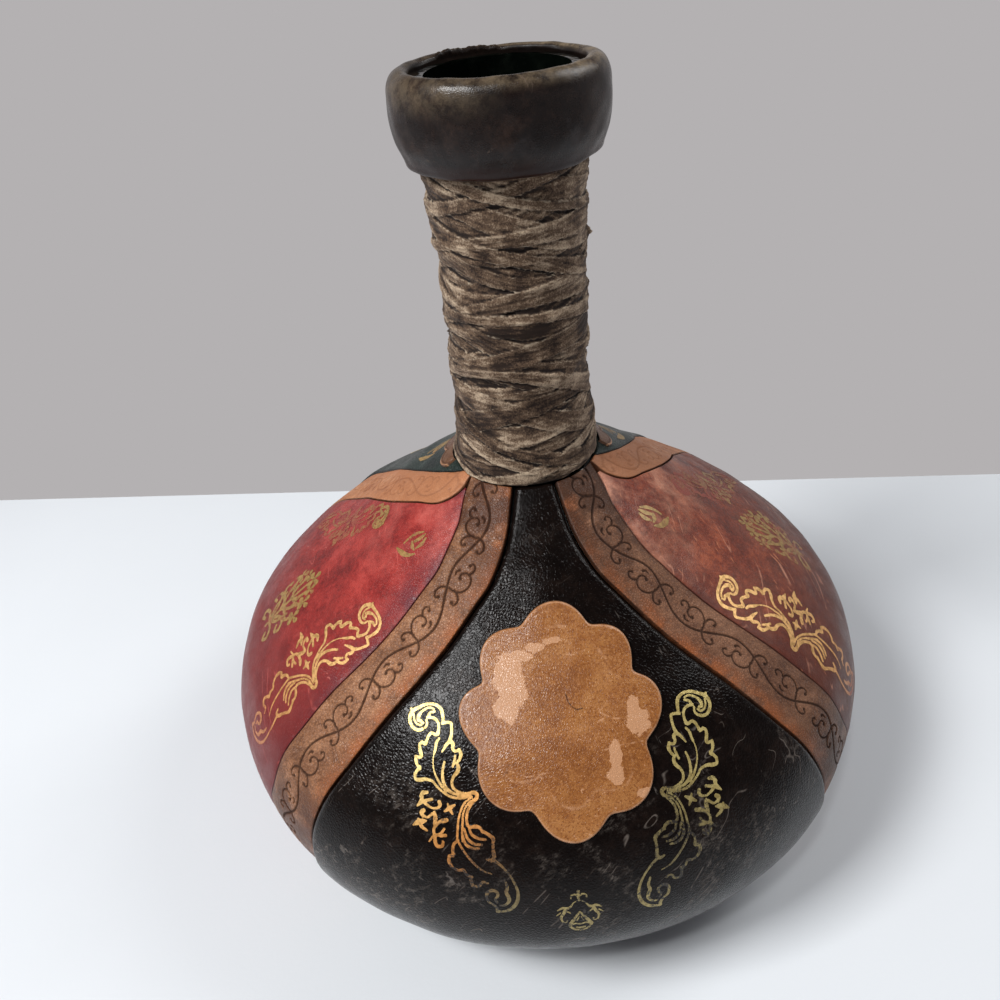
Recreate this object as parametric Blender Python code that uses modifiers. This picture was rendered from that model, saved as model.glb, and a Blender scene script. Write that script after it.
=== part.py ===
"""Leather-covered wine bottle.

A squat glass bottle with a long neck stands under a skin of eight leather pieces: a front and a back panel, two side
panels, and four tooled bands between them. Their tops are bound to the neck by a leather strip, wound up and down again
over a plain leather sleeve. A moulded leather collar over a packing ring covers the flared lip, and a disc closes the
base. A scalloped medallion lies on the front and the back panel, and a scalloped tab on the back one, at the neck.

Units are metres and +Z is up. The origin is the centre of the base, on the surface that the bottle stands on. The front
panel faces -Y. A skin piece is laid out by two measures: the distance down the body's outline from the top edge of the
skin, and the turn about the axis from the front, positive towards +X.
"""

import math
from bisect import bisect_right

import bmesh
import bpy
from mathutils import Vector

MM = 0.001
MERGE_DISTANCE = 0.01 * MM

# Body, over the bands and the side panels
BODY_RADIUS = 100.0 * MM
EQUATOR_HEIGHT = 40.0 * MM
SHOULDER_RISE = 79.2 * MM
BASE_EDGE_RADIUS = 62.0 * MM
BASE_EDGE_LIFT = 0.6 * MM

# Leather skin
SKIN_THICKNESS = 2.0 * MM
PANEL_PROUD = 1.2 * MM
TONGUE_THICKNESS = 0.9 * MM
TONGUE_HEIGHT = 8.8 * MM
SEAM_GAP = 0.5 * MM
SKIN_CLEARANCE = 0.4 * MM
SHOULDER_LEDGE = 0.65 * MM

# Base disc
DISC_THICKNESS = 2.2 * MM
DISC_BEVEL = 0.5 * MM

# Glass bottle
NECK_RADIUS = 14.7 * MM
NECK_WALL = 2.6 * MM
BODY_WALL = 3.5 * MM
LIP_RADIUS = 18.7 * MM
LIP_WALL = 2.0 * MM
LIP_LENGTH = 6.0 * MM
FOOT_FLARE = 1.3 * MM
FOOT_FLARE_HEIGHT = 16.0 * MM
HEAD_FLARE = 1.7 * MM
HEAD_FLARE_HEIGHT = 24.0 * MM
PUNT_RADIUS = 40.0 * MM
PUNT_RISE = 8.0 * MM

# Wound strip
WRAP_HEIGHT = 80.8 * MM
WRAP_CLEARANCE = 0.45 * MM
STRIP_WIDTH = 5.4 * MM
STRIP_THICKNESS = 0.8 * MM
LAYER_GAP = 0.6 * MM
LOOPS_UP = 10
LOOP_POINTS = 24

# Collar
COLLAR_HEIGHT = 20.8 * MM
COLLAR_RADIUS = 25.4 * MM
MOUTH_RADIUS = 19.1 * MM
COLLAR_THICKNESS = 1.8 * MM
COLLAR_CLEARANCE = 0.4 * MM
LIP_RECESS = 2.6 * MM

# Medallions and neck tab
MEDALLION_WIDTH = 51.6 * MM
MEDALLION_HEIGHT = 58.8 * MM
MEDALLION_DOWN = 61.0 * MM
MEDALLION_SHIFT = 2.0 * MM
MEDALLION_THICKNESS = 0.9 * MM
MEDALLION_LOBES = 8
MEDALLION_NOTCH_SHARE = 0.15
OVERLAY_CLEARANCE = 0.45 * MM
TAB_DROP = 5.6 * MM
TAB_SCALLOP = 2.0 * MM
TAB_LOBES = 10
TAB_THICKNESS = 0.8 * MM
TAB_TOP_DOWN = 0.8 * MM

# Outline of the body above the equator: share of the way out from the neck, share of the rise
UPPER_SHARES = (
    (0.0, 1.0), (0.04, 0.97), (0.085, 0.936), (0.17, 0.875), (0.245, 0.828), (0.395, 0.709), (0.56, 0.588),
    (0.71, 0.486), (0.835, 0.373), (0.925, 0.275), (0.981, 0.143), (1.0, 0.0),
)
# Outline below the equator: share of the way out from the base edge, share of the drop
LOWER_SHARES = ((0.96, 0.26), (0.84, 0.49), (0.63, 0.76), (0.38, 0.93), (0.0, 1.0))

# Seams: share of the way down the skin, then turns in degrees of the front band's two edges and the back band's two
SEAM_SHARES = (
    (0.000, 16.2, 55.5, 55.5, 66.0),
    (0.030, 16.0, 50.5, 56.5, 83.0),
    (0.065, 15.9, 44.5, 65.0, 98.0),
    (0.095, 16.6, 42.5, 79.0, 107.0),
    (0.150, 19.4, 41.0, 95.0, 118.5),
    (0.200, 24.2, 43.2, 106.0, 126.5),
    (0.255, 28.3, 45.2, 115.0, 132.0),
    (0.360, 35.0, 49.4, 123.5, 138.5),
    (0.475, 40.2, 53.1, 125.5, 139.0),
    (0.590, 44.1, 55.6, 123.0, 136.5),
    (0.665, 45.3, 58.3, 121.0, 135.0),
    (1.000, 47.0, 60.0, 120.0, 133.0),
)
FRONT_IN, FRONT_OUT, BACK_IN, BACK_OUT = 1, 2, 3, 4
PROUD_BIAS_SHARE = 1.7
SIDE_TOP_SHARE = 0.02

# Flare of the glass from the body to the neck: share of the way out, share of the way up
GLASS_FLARE_SHARES = ((0.52, 0.07), (0.30, 0.14), (0.20, 0.27), (0.09, 0.60))
# Flare of the glass from the neck to the lip: share of the way out, share of the way up
GLASS_HEAD_SHARES = ((0.0, 0.0), (0.3, 0.54), (1.0, 1.0))
# Outside of the collar, from its foot up and over into the mouth: share of the way out, share of its height
COLLAR_SHARES = (
    (0.32, 0.0), (0.62, 0.07), (0.80, 0.20), (0.95, 0.34), (1.0, 0.52), (0.99, 0.68), (0.94, 0.82), (0.76, 0.93),
    (0.48, 0.99), (0.24, 0.99), (0.07, 0.95), (0.0, 0.86), (0.0, 0.74),
)
LAST_LIP_SHARE = COLLAR_SHARES[-1][1]

OUTLINE_STEPS = 10
BODY_STATIONS = 18
STATION_CROWDING = 1.3
NECK_STATIONS = 6
TURN_STEPS = 36
NECK_STEPS = 24
TAB_COLUMNS = 30
MEDALLION_POINTS = 48
FRONT_TURN = 0.0
BACK_TURN = math.pi

SKIN_TOP_RADIUS = (
    NECK_RADIUS + FOOT_FLARE + SKIN_CLEARANCE + TONGUE_THICKNESS + WRAP_CLEARANCE
    + 2 * STRIP_THICKNESS + LAYER_GAP + SHOULDER_LEDGE
)
SKIN_TOP_HEIGHT = EQUATOR_HEIGHT + SHOULDER_RISE
WRAP_FOOT_HEIGHT = SKIN_TOP_HEIGHT + SKIN_CLEARANCE
COLLAR_FOOT_HEIGHT = WRAP_FOOT_HEIGHT + WRAP_HEIGHT + COLLAR_CLEARANCE
GLASS_TOP_HEIGHT = COLLAR_FOOT_HEIGHT + COLLAR_HEIGHT - LIP_RECESS


class Outline:
    """A smooth curve of radius against height, read by the distance along it."""

    def __init__(self, points):
        self.points = smooth([Vector(point) for point in points], OUTLINE_STEPS)
        self.distances = [0.0]
        for start, end in zip(self.points, self.points[1:]):
            self.distances.append(self.distances[-1] + (end - start).length)
        self.length = self.distances[-1]

    def at(self, distance, lift=0.0):
        """Point at a distance from the start, lifted off the curve to its outer side."""
        index = min(max(bisect_right(self.distances, distance) - 1, 0), len(self.points) - 2)
        start, end = self.points[index], self.points[index + 1]
        along = (distance - self.distances[index]) / (end - start).length
        before = self.points[max(index - 1, 0)]
        after = self.points[min(index + 2, len(self.points) - 1)]
        heading = (end - before).normalized().lerp((after - start).normalized(), along).normalized()
        normal = Vector((-heading.y, heading.x))
        return start.lerp(end, along) + normal * lift


def smooth(points, steps):
    """Points of a curve that passes through the given ones with a steady change of heading."""
    knots = [0.0]
    for start, end in zip(points, points[1:]):
        knots.append(knots[-1] + (end - start).length)
    last = len(points) - 1
    slopes = []
    for index in range(len(points)):
        before, after = max(index - 1, 0), min(index + 1, last)
        slopes.append((points[after] - points[before]) / (knots[after] - knots[before]))
    curve = []
    for index in range(last):
        span = knots[index + 1] - knots[index]
        for step in range(steps):
            t = step / steps
            start_weight = 2 * t**3 - 3 * t**2 + 1
            end_weight = 3 * t**2 - 2 * t**3
            leave = (t**3 - 2 * t**2 + t) * span
            arrive = (t**3 - t**2) * span
            curve.append(
                points[index] * start_weight + points[index + 1] * end_weight
                + slopes[index] * leave + slopes[index + 1] * arrive
            )
    curve.append(points[last])
    return curve


def skin_outline():
    """Outer side of the bands, from the top edge of the skin down to its edge at the base."""
    reach = BODY_RADIUS - SKIN_TOP_RADIUS
    points = [(SKIN_TOP_RADIUS + reach * out, EQUATOR_HEIGHT + SHOULDER_RISE * up) for out, up in UPPER_SHARES]
    reach = BODY_RADIUS - BASE_EDGE_RADIUS
    drop = EQUATOR_HEIGHT - BASE_EDGE_LIFT
    points += [(BASE_EDGE_RADIUS + reach * out, EQUATOR_HEIGHT - drop * down) for out, down in LOWER_SHARES]
    return Outline(points)


SKIN = skin_outline()


def stations(start=0.0):
    """Distances down the skin where its pieces have their rows, closer together at the neck."""
    rows = [SKIN.length * (index / BODY_STATIONS) ** STATION_CROWDING for index in range(BODY_STATIONS + 1)]
    return [start] + [row for row in rows if row > start + SEAM_GAP]


def glass_neck():
    """Outside of the glass from the shoulder up to the rim, as points that run upwards."""
    shoulder = SKIN.at(0.0, -SKIN_THICKNESS - SKIN_CLEARANCE)
    neck_start = WRAP_FOOT_HEIGHT + FOOT_FLARE_HEIGHT
    head_start = COLLAR_FOOT_HEIGHT - HEAD_FLARE_HEIGHT
    lip_foot = GLASS_TOP_HEIGHT - LIP_LENGTH
    points = [shoulder]
    for out, up in GLASS_FLARE_SHARES:
        radius = NECK_RADIUS + (shoulder.x - NECK_RADIUS) * out
        points.append((radius, shoulder.y + (neck_start - shoulder.y) * up))
    points += [(NECK_RADIUS, neck_start), (NECK_RADIUS, (neck_start + head_start) / 2)]
    points += [
        (NECK_RADIUS + HEAD_FLARE * out, head_start + HEAD_FLARE_HEIGHT * up) for out, up in GLASS_HEAD_SHARES
    ]
    points += [(LIP_RADIUS, lip_foot), (LIP_RADIUS, GLASS_TOP_HEIGHT)]
    return Outline(points)


GLASS_NECK = glass_neck()


def wrap_floor(height, reach):
    """Largest radius of the glass within a reach above and below a height, so that a strip there clears it."""
    steps = [height + reach * step / 4 for step in range(-4, 5)]
    return max(glass_radius(max(step, WRAP_FOOT_HEIGHT)) for step in steps)


def glass_radius(height):
    """Radius of the outside of the glass at a height on the neck."""
    curve = GLASS_NECK.points
    for start, end in zip(curve, curve[1:]):
        if start.y <= height <= end.y:
            return start.x + (end.x - start.x) * (height - start.y) / (end.y - start.y)
    return curve[-1].x if height > curve[-1].y else curve[0].x


def seam_turn(edge, down):
    """Turn of a seam at a distance down the skin, in radians from the front."""
    share = min(max(down / SKIN.length, 0.0), 1.0)
    rows = SEAM_SHARES
    index = min(max(bisect_right([row[0] for row in rows], share) - 1, 0), len(rows) - 2)
    before, start, end, after = (rows[min(max(index + step, 0), len(rows) - 1)] for step in (-1, 0, 1, 2))
    span = end[0] - start[0]
    t = (share - start[0]) / span
    leave = (end[edge] - before[edge]) / (end[0] - before[0]) * span
    arrive = (after[edge] - start[edge]) / (after[0] - start[0]) * span
    turn = (
        start[edge] * (2 * t**3 - 3 * t**2 + 1) + end[edge] * (3 * t**2 - 2 * t**3)
        + leave * (t**3 - 2 * t**2 + t) + arrive * (t**3 - t**2)
    )
    return math.radians(turn)


def proud_at(down):
    """Height of the front and back panels over the bands, full at the equator and nothing at both ends."""
    share = down / SKIN.length
    return PANEL_PROUD * math.sin(math.pi * share ** PROUD_BIAS_SHARE)


def place(point, turn):
    """World position of a point of radius and height, turned about the axis from the front."""
    return Vector((point.x * math.sin(turn), -point.x * math.cos(turn), point.y))


def add_material(name, colour, roughness, metallic=0.0):
    """Plain material of one colour."""
    material = bpy.data.materials.new(name)
    material.use_nodes = True
    shader = material.node_tree.nodes["Principled BSDF"]
    shader.inputs["Base Color"].default_value = (*colour, 1.0)
    shader.inputs["Roughness"].default_value = roughness
    shader.inputs["Metallic"].default_value = metallic
    return material


def add_object(name, data, material, collection):
    """Object of one sub-part, with its material."""
    piece = bpy.data.objects.new(name, data)
    data.materials.append(material)
    collection.objects.link(piece)
    return piece


def shade(mesh):
    """Smooth shading, with the real edges kept sharp."""
    mesh.shade_smooth()
    mesh.set_sharp_from_angle(angle=math.radians(40))


def add_turned(name, section, steps, material, collection):
    """Turned piece from a closed section of radius and height that runs down its outer side."""
    mesh = bpy.data.meshes.new(name)
    ring = [(index, (index + 1) % len(section)) for index in range(len(section))]
    edges = [edge for edge in ring if any(section[end].x > 0 for end in edge)]
    mesh.from_pydata([(point.x, 0.0, point.y) for point in section], edges, [])
    piece = add_object(name, mesh, material, collection)
    screw = piece.modifiers.new("turn", "SCREW")
    screw.axis = "Z"
    screw.angle = 2 * math.pi
    screw.steps = steps
    screw.render_steps = steps
    screw.use_merge_vertices = True
    screw.merge_threshold = MERGE_DISTANCE
    screw.use_smooth_shade = True
    return piece


def add_loft(name, outer, inner, material, collection):
    """Closed sheet between an outer and an inner grid of points, with walls round its four sides."""
    shape = bmesh.new()
    rows, columns = len(outer), len(outer[0])
    grids = [[[shape.verts.new(point) for point in row] for row in grid] for grid in (outer, inner)]
    top, bottom = grids
    for row in range(rows - 1):
        for column in range(columns - 1):
            corners = ((row, column), (row, column + 1), (row + 1, column + 1), (row + 1, column))
            shape.faces.new([top[i][j] for i, j in corners])
            shape.faces.new([bottom[i][j] for i, j in reversed(corners)])
    rim = [(0, column) for column in range(columns)]
    rim += [(row, columns - 1) for row in range(1, rows)]
    rim += [(rows - 1, column) for column in range(columns - 2, -1, -1)]
    rim += [(row, 0) for row in range(rows - 2, 0, -1)]
    for start, end in zip(rim, rim[1:] + rim[:1]):
        i, j = start
        k, m = end
        shape.faces.new((top[k][m], top[i][j], bottom[i][j], bottom[k][m]))
    bmesh.ops.recalc_face_normals(shape, faces=shape.faces)
    mesh = bpy.data.meshes.new(name)
    shape.to_mesh(mesh)
    shape.free()
    shade(mesh)
    return add_object(name, mesh, material, collection)


def tongue_rows():
    """Rows of a skin piece's tongue under the wound strip: outer point, inner point, distance down the skin."""
    top = WRAP_FOOT_HEIGHT + TONGUE_HEIGHT
    foot = SKIN_TOP_HEIGHT + SKIN_CLEARANCE / 4
    heights = (top, (top + 2 * foot) / 3, foot)
    rows = []
    for height in heights:
        radius = glass_radius(height) + SKIN_CLEARANCE
        reach = min(radius, glass_radius(WRAP_FOOT_HEIGHT) + SKIN_CLEARANCE) + TONGUE_THICKNESS
        rows.append((Vector((reach, height)), Vector((radius, height)), 0.0))
    return rows


def skin_rows(proud, tongue, start):
    """Rows of a skin piece from its top to the base: outer point, inner point, distance down the skin."""
    rows = tongue_rows() if tongue else []
    for down in stations(start):
        lift = proud_at(down) if proud else 0.0
        rows.append((SKIN.at(down, lift), SKIN.at(down, -SKIN_THICKNESS), down))
    return rows


def add_skin_piece(name, left, right, columns, material, collection, proud=False, tongue=True, start=0.0):
    """Leather piece between two seams, each given as a function of the distance down the skin."""
    outer, inner = [], []
    for outer_point, inner_point, down in skin_rows(proud, tongue, start):
        inset = SEAM_GAP / 2 / inner_point.x
        begin = left(down) + inset
        end = right(down) - inset
        turns = [begin + (end - begin) * column / columns for column in range(columns + 1)]
        outer.append([place(outer_point, turn) for turn in turns])
        inner.append([place(inner_point, turn) for turn in turns])
    return add_loft(name, outer, inner, material, collection)


def seam(edge, side=1):
    """Seam as a function of the distance down the skin, on the +X side or mirrored to the -X side."""
    return lambda down: side * seam_turn(edge, down)


def behind(edge, side=1):
    """Seam of the back panel, measured on round the back so that its turns only grow."""
    if side > 0:
        return lambda down: seam_turn(edge, down)
    return lambda down: 2 * math.pi - seam_turn(edge, down)


def add_glass(collection):
    """Hollow glass bottle with a punt in its base, a long neck and a flared lip."""
    material = add_material("green_glass", (0.05, 0.09, 0.06), 0.08)
    lift = -SKIN_THICKNESS - SKIN_CLEARANCE
    neck = list(reversed(GLASS_NECK.points[OUTLINE_STEPS // 2::OUTLINE_STEPS // 2]))
    body = [SKIN.at(down, lift) for down in stations()]
    foot_height = DISC_THICKNESS + SKIN_CLEARANCE
    body = [point for point in body if point.y > foot_height + SKIN_CLEARANCE]
    base = [
        Vector((BASE_EDGE_RADIUS - SKIN_THICKNESS, foot_height)),
        Vector((PUNT_RADIUS, foot_height)),
        Vector((PUNT_RADIUS / 2, foot_height + PUNT_RISE * 3 / 4)),
        Vector((0.0, foot_height + PUNT_RISE)),
    ]
    inside = [
        Vector((0.0, foot_height + PUNT_RISE + BODY_WALL)),
        Vector((PUNT_RADIUS / 2, foot_height + PUNT_RISE * 3 / 4 + BODY_WALL)),
        Vector((PUNT_RADIUS, foot_height + BODY_WALL)),
        Vector((BASE_EDGE_RADIUS - SKIN_THICKNESS - BODY_WALL / 2, foot_height + BODY_WALL)),
    ]
    cavity = [SKIN.at(down, lift - BODY_WALL) for down in reversed(stations()[::2])]
    neck_foot = WRAP_FOOT_HEIGHT
    inside += [point for point in cavity if foot_height + 2 * BODY_WALL < point.y < neck_foot - 2 * BODY_WALL]
    bore = NECK_RADIUS - NECK_WALL
    bore_foot = neck_foot + FOOT_FLARE_HEIGHT / 2
    bore_head = COLLAR_FOOT_HEIGHT - HEAD_FLARE_HEIGHT / 2
    lip_bore = LIP_RADIUS - LIP_WALL
    inside += [
        Vector((bore + FOOT_FLARE, neck_foot - BODY_WALL / 2)),
        Vector((bore, bore_foot)),
        Vector((bore, bore_head)),
        Vector((lip_bore, GLASS_TOP_HEIGHT - LIP_LENGTH)),
        Vector((lip_bore, GLASS_TOP_HEIGHT)),
    ]
    return add_turned("glass_bottle", neck + body + base + inside, TURN_STEPS, material, collection)


def add_sleeve(collection):
    """Plain leather sleeve on the glass neck, from the tongues of the skin up to the collar."""
    material = add_material("dark_leather", (0.035, 0.024, 0.019), 0.45)
    foot = WRAP_FOOT_HEIGHT + TONGUE_HEIGHT + SKIN_CLEARANCE
    head = COLLAR_FOOT_HEIGHT - COLLAR_CLEARANCE
    heights = [foot + (head - foot) * index / NECK_STATIONS for index in range(NECK_STATIONS + 1)]
    inner = [Vector((glass_radius(height) + SKIN_CLEARANCE, height)) for height in heights]
    outer = [Vector((point.x + TONGUE_THICKNESS, point.y)) for point in reversed(inner)]
    return add_turned("neck_sleeve", outer + inner, NECK_STEPS, material, collection)


def strip_path():
    """Centre line of the wound strip: up in the inner layer, over at the top, and down in the outer one."""
    bottom = WRAP_FOOT_HEIGHT + STRIP_WIDTH / 2
    top = WRAP_FOOT_HEIGHT + WRAP_HEIGHT - STRIP_WIDTH / 2
    inner_lift = SKIN_CLEARANCE + TONGUE_THICKNESS + WRAP_CLEARANCE + STRIP_THICKNESS / 2
    layer = STRIP_THICKNESS + LAYER_GAP
    turning = LOOPS_UP * LOOP_POINTS
    climb = LOOP_POINTS / 6
    path = []
    for index in range(2 * turning + 1):
        rise = 1 - abs(index - turning) / turning
        height = bottom + (top - bottom) * rise
        outward = min(max((index - turning + climb) / (2 * climb), 0.0), 1.0)
        outward = outward * outward * (3 - 2 * outward)
        below = wrap_floor(height, STRIP_WIDTH / 2)
        beyond = wrap_floor(height, STRIP_WIDTH * 3 / 2) + layer
        radius = inner_lift + below + (beyond - below) * outward
        path.append(place(Vector((radius, height)), 2 * math.pi * index / LOOP_POINTS))
    first = (path[0] - path[1]).normalized() * STRIP_THICKNESS
    last = (path[-1] - path[-2]).normalized() * STRIP_THICKNESS
    return [path[0] + first] + path + [path[-1] + last]


def strip_gap(path):
    """Least gap of the strip to itself, measured between its sections at equal turns about the axis."""
    least = math.inf
    inner_points = path[1:-1]
    for index, point in enumerate(inner_points):
        for other in inner_points[index % LOOP_POINTS:index:LOOP_POINTS]:
            across = abs(math.hypot(point.x, point.y) - math.hypot(other.x, other.y)) - STRIP_THICKNESS
            along = abs(point.z - other.z) - STRIP_WIDTH
            least = min(least, math.hypot(max(across, 0.0), max(along, 0.0)))
    return least


def add_wrap(collection):
    """Leather strip wound round the neck, one unbroken flat tube."""
    material = add_material("suede_strip", (0.20, 0.155, 0.115), 0.85)
    path = strip_path()
    curve = bpy.data.curves.new("neck_wrap", "CURVE")
    curve.dimensions = "3D"
    curve.twist_mode = "Z_UP"
    curve.bevel_depth = STRIP_THICKNESS / 2
    curve.bevel_resolution = 0
    curve.extrude = (STRIP_WIDTH - STRIP_THICKNESS) / 2
    curve.use_fill_caps = True
    spline = curve.splines.new("POLY")
    spline.points.add(len(path) - 1)
    for target, point in zip(spline.points, path):
        target.co = (*point, 1.0)
    print(f"neck_wrap: least gap of the strip to itself {strip_gap(path) / MM:.2f} mm")
    return add_object("neck_wrap", curve, material, collection)


def collar_section(lift):
    """Outside of the collar from its foot, up and over into the mouth, lifted off its own line."""
    reach = COLLAR_RADIUS - MOUTH_RADIUS
    points = [(MOUTH_RADIUS + reach * out, COLLAR_FOOT_HEIGHT + COLLAR_HEIGHT * up) for out, up in COLLAR_SHARES]
    outline = Outline(reversed(points))
    count = len(COLLAR_SHARES)
    return [outline.at(outline.length * index / count, lift) for index in range(count + 1)]


def above(points, floor):
    """Points of a falling line that lie over a height, with one more where the line meets it."""
    kept = [point for point in points if point.y > floor]
    start, end = kept[-1], points[len(kept)]
    return kept + [start.lerp(end, (start.y - floor) / (start.y - end.y))]


def add_collar(collection):
    """Moulded leather collar, open to the glass on its inner side."""
    material = add_material("collar_leather", (0.045, 0.032, 0.025), 0.38)
    outer = collar_section(0.0)
    inner = collar_section(-COLLAR_THICKNESS)
    floor = COLLAR_FOOT_HEIGHT + COLLAR_THICKNESS
    foot_radius = glass_radius(floor) + COLLAR_CLEARANCE
    section = outer + [Vector((foot_radius, COLLAR_FOOT_HEIGHT)), Vector((foot_radius, floor))]
    section += reversed(above(inner, floor))
    return add_turned("collar_cover", section, NECK_STEPS, material, collection)


def add_packing(collection):
    """Ring of packing between the glass lip and the collar, which gives the collar its swell."""
    material = add_material("packing", (0.16, 0.12, 0.08), 0.9)
    floor = COLLAR_FOOT_HEIGHT + COLLAR_THICKNESS + COLLAR_CLEARANCE
    ceiling = GLASS_TOP_HEIGHT - COLLAR_THICKNESS
    swell = collar_section(-COLLAR_THICKNESS - COLLAR_CLEARANCE)
    lip_side = MOUTH_RADIUS + COLLAR_THICKNESS + COLLAR_CLEARANCE
    first = next(index for index, point in enumerate(swell) if point.y < ceiling and point.x > lip_side)
    swell = above(swell[first:], floor)
    outer = [Vector((lip_side, swell[0].y))] + swell
    shoulder = COLLAR_FOOT_HEIGHT + COLLAR_HEIGHT * LAST_LIP_SHARE - COLLAR_CLEARANCE
    heights = [floor + (shoulder - floor) * index / 4 for index in range(5)]
    inner = [Vector((glass_radius(height) + COLLAR_CLEARANCE, height)) for height in heights]
    inner.append(Vector((lip_side, shoulder)))
    return add_turned("collar_packing", outer + inner, NECK_STEPS, material, collection)


def add_base(collection):
    """Leather disc that closes the base, flat on the surface that the bottle stands on."""
    material = add_material("base_leather", (0.04, 0.028, 0.022), 0.6)
    radius = BASE_EDGE_RADIUS - SEAM_GAP
    section = [
        Vector((0.0, DISC_THICKNESS)),
        Vector((radius, DISC_THICKNESS)),
        Vector((radius, DISC_BEVEL)),
        Vector((radius - DISC_BEVEL, 0.0)),
        Vector((0.0, 0.0)),
    ]
    return add_turned("base_disc", section, TURN_STEPS, material, collection)


def add_medallion(name, centre_turn, shift, material, collection):
    """Scalloped oval of leather laid on a panel."""
    outer, inner = [], []
    for share in (0.0, 0.5, 1.0):
        tops, bottoms = [], []
        for index in range(MEDALLION_POINTS + 1):
            angle = 2 * math.pi * (index % MEDALLION_POINTS) / MEDALLION_POINTS
            scallop = 1 - MEDALLION_NOTCH_SHARE * (1 - abs(math.cos(MEDALLION_LOBES / 2 * angle)))
            oval = 1 / math.hypot(math.cos(angle) * 2 / MEDALLION_WIDTH, math.sin(angle) * 2 / MEDALLION_HEIGHT)
            reach = oval * scallop * share
            down = MEDALLION_DOWN - reach * math.sin(angle)
            lift = proud_at(down) + OVERLAY_CLEARANCE
            bottom = SKIN.at(down, lift)
            turn = centre_turn + (reach * math.cos(angle) + shift) / bottom.x
            bottoms.append(place(bottom, turn))
            tops.append(place(SKIN.at(down, lift + MEDALLION_THICKNESS), turn))
        outer.append(tops)
        inner.append(bottoms)
    return add_disc_loft(name, outer, inner, material, collection)


def add_disc_loft(name, outer, inner, material, collection):
    """Closed sheet between two stacks of rings, each stack with its centre first and its rim last."""
    shape = bmesh.new()
    count = len(outer[0]) - 1
    rims = []
    for stack in (outer, inner):
        centre = shape.verts.new(stack[0][0])
        rings = [[shape.verts.new(point) for point in ring[:count]] for ring in stack[1:]]
        for index in range(count):
            after = (index + 1) % count
            shape.faces.new((centre, rings[0][index], rings[0][after]))
            for small, large in zip(rings, rings[1:]):
                shape.faces.new((small[index], large[index], large[after], small[after]))
        rims.append(rings[-1])
    top, bottom = rims
    for index in range(count):
        after = (index + 1) % count
        shape.faces.new((top[index], bottom[index], bottom[after], top[after]))
    bmesh.ops.recalc_face_normals(shape, faces=shape.faces)
    mesh = bpy.data.meshes.new(name)
    shape.to_mesh(mesh)
    shape.free()
    shade(mesh)
    return add_object(name, mesh, material, collection)


def add_tab(collection):
    """Scalloped tab on the back panel, round the back of the neck."""
    material = add_material("tab_leather", (0.45, 0.22, 0.10), 0.5)
    top_turn = seam_turn(BACK_OUT, TAB_DROP)
    outer, inner = [], []
    rows = 1
    for row in range(rows + 1):
        tops, bottoms = [], []
        for column in range(TAB_COLUMNS + 1):
            across = column / TAB_COLUMNS
            lobe = abs(math.sin(math.pi * TAB_LOBES * across))
            foot = TAB_DROP - TAB_SCALLOP * (1 - lobe)
            down = TAB_TOP_DOWN + (foot - TAB_TOP_DOWN) * row / rows
            turn = top_turn + (2 * math.pi - 2 * top_turn) * across
            lift = proud_at(down) + OVERLAY_CLEARANCE
            tops.append(place(SKIN.at(down, lift + TAB_THICKNESS), turn))
            bottoms.append(place(SKIN.at(down, lift), turn))
        outer.append(tops)
        inner.append(bottoms)
    return add_loft("back_neck_tab", outer, inner, material, collection)


def add_skin(collection):
    """The eight pieces of the skin."""
    black = add_material("black_leather", (0.018, 0.014, 0.013), 0.42)
    teal = add_material("dark_teal_leather", (0.030, 0.045, 0.040), 0.45)
    red = add_material("red_leather", (0.36, 0.055, 0.045), 0.45)
    rust = add_material("rust_leather", (0.30, 0.065, 0.04), 0.45)
    tan = add_material("tan_leather", (0.36, 0.17, 0.08), 0.5)
    add_skin_piece("front_panel", seam(FRONT_IN, -1), seam(FRONT_IN), 12, black, collection, proud=True)
    add_skin_piece("back_panel", behind(BACK_OUT), behind(BACK_OUT, -1), 14, teal, collection, proud=True)
    side_top = SKIN.length * SIDE_TOP_SHARE
    for name, side, material in (("right_panel", 1, rust), ("left_panel", -1, red)):
        left, right = sorted((FRONT_OUT, BACK_IN), reverse=side < 0)
        add_skin_piece(
            name, seam(left, side), seam(right, side), 10, material, collection, tongue=False, start=side_top
        )
    for place_name, first, second in (("front", FRONT_IN, FRONT_OUT), ("back", BACK_IN, BACK_OUT)):
        add_skin_piece(f"band_{place_name}_right", seam(first), seam(second), 4, tan, collection)
        add_skin_piece(f"band_{place_name}_left", seam(second, -1), seam(first, -1), 4, tan, collection)


def clear_scene():
    """Remove what the scene holds."""
    for item in list(bpy.data.objects):
        bpy.data.objects.remove(item, do_unlink=True)


def main():
    """Build the bottle."""
    clear_scene()
    collection = bpy.data.collections.new("leather_wine_bottle")
    bpy.context.scene.collection.children.link(collection)
    add_glass(collection)
    add_base(collection)
    add_sleeve(collection)
    add_skin(collection)
    medallion = add_material("medallion_leather", (0.42, 0.20, 0.09), 0.5)
    add_medallion("front_medallion", FRONT_TURN, -MEDALLION_SHIFT, medallion, collection)
    add_medallion("back_medallion", BACK_TURN, 0.0, medallion, collection)
    add_tab(collection)
    add_wrap(collection)
    add_packing(collection)
    add_collar(collection)


main()
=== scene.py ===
"""Looks of a leather-covered wine bottle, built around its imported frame.

Lengths are in millimetres until a mesh is made. A place on the leather skin is given by `down`, the distance
down the body's outline from the top edge of the skin, and by `turn`, the angle about the axis from the front
(-Y), positive towards +X. A lift is a height over the outline. Tooling and gold stamps are drawn as strokes
on a stencil, a flat grid of cells, which a mesh reads or is cut from.
"""

from __future__ import annotations

import logging
import math
from dataclasses import dataclass, field
from enum import Enum
from typing import Callable, Sequence

import bpy
import numpy as np
from mathutils import Matrix, Vector


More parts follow.
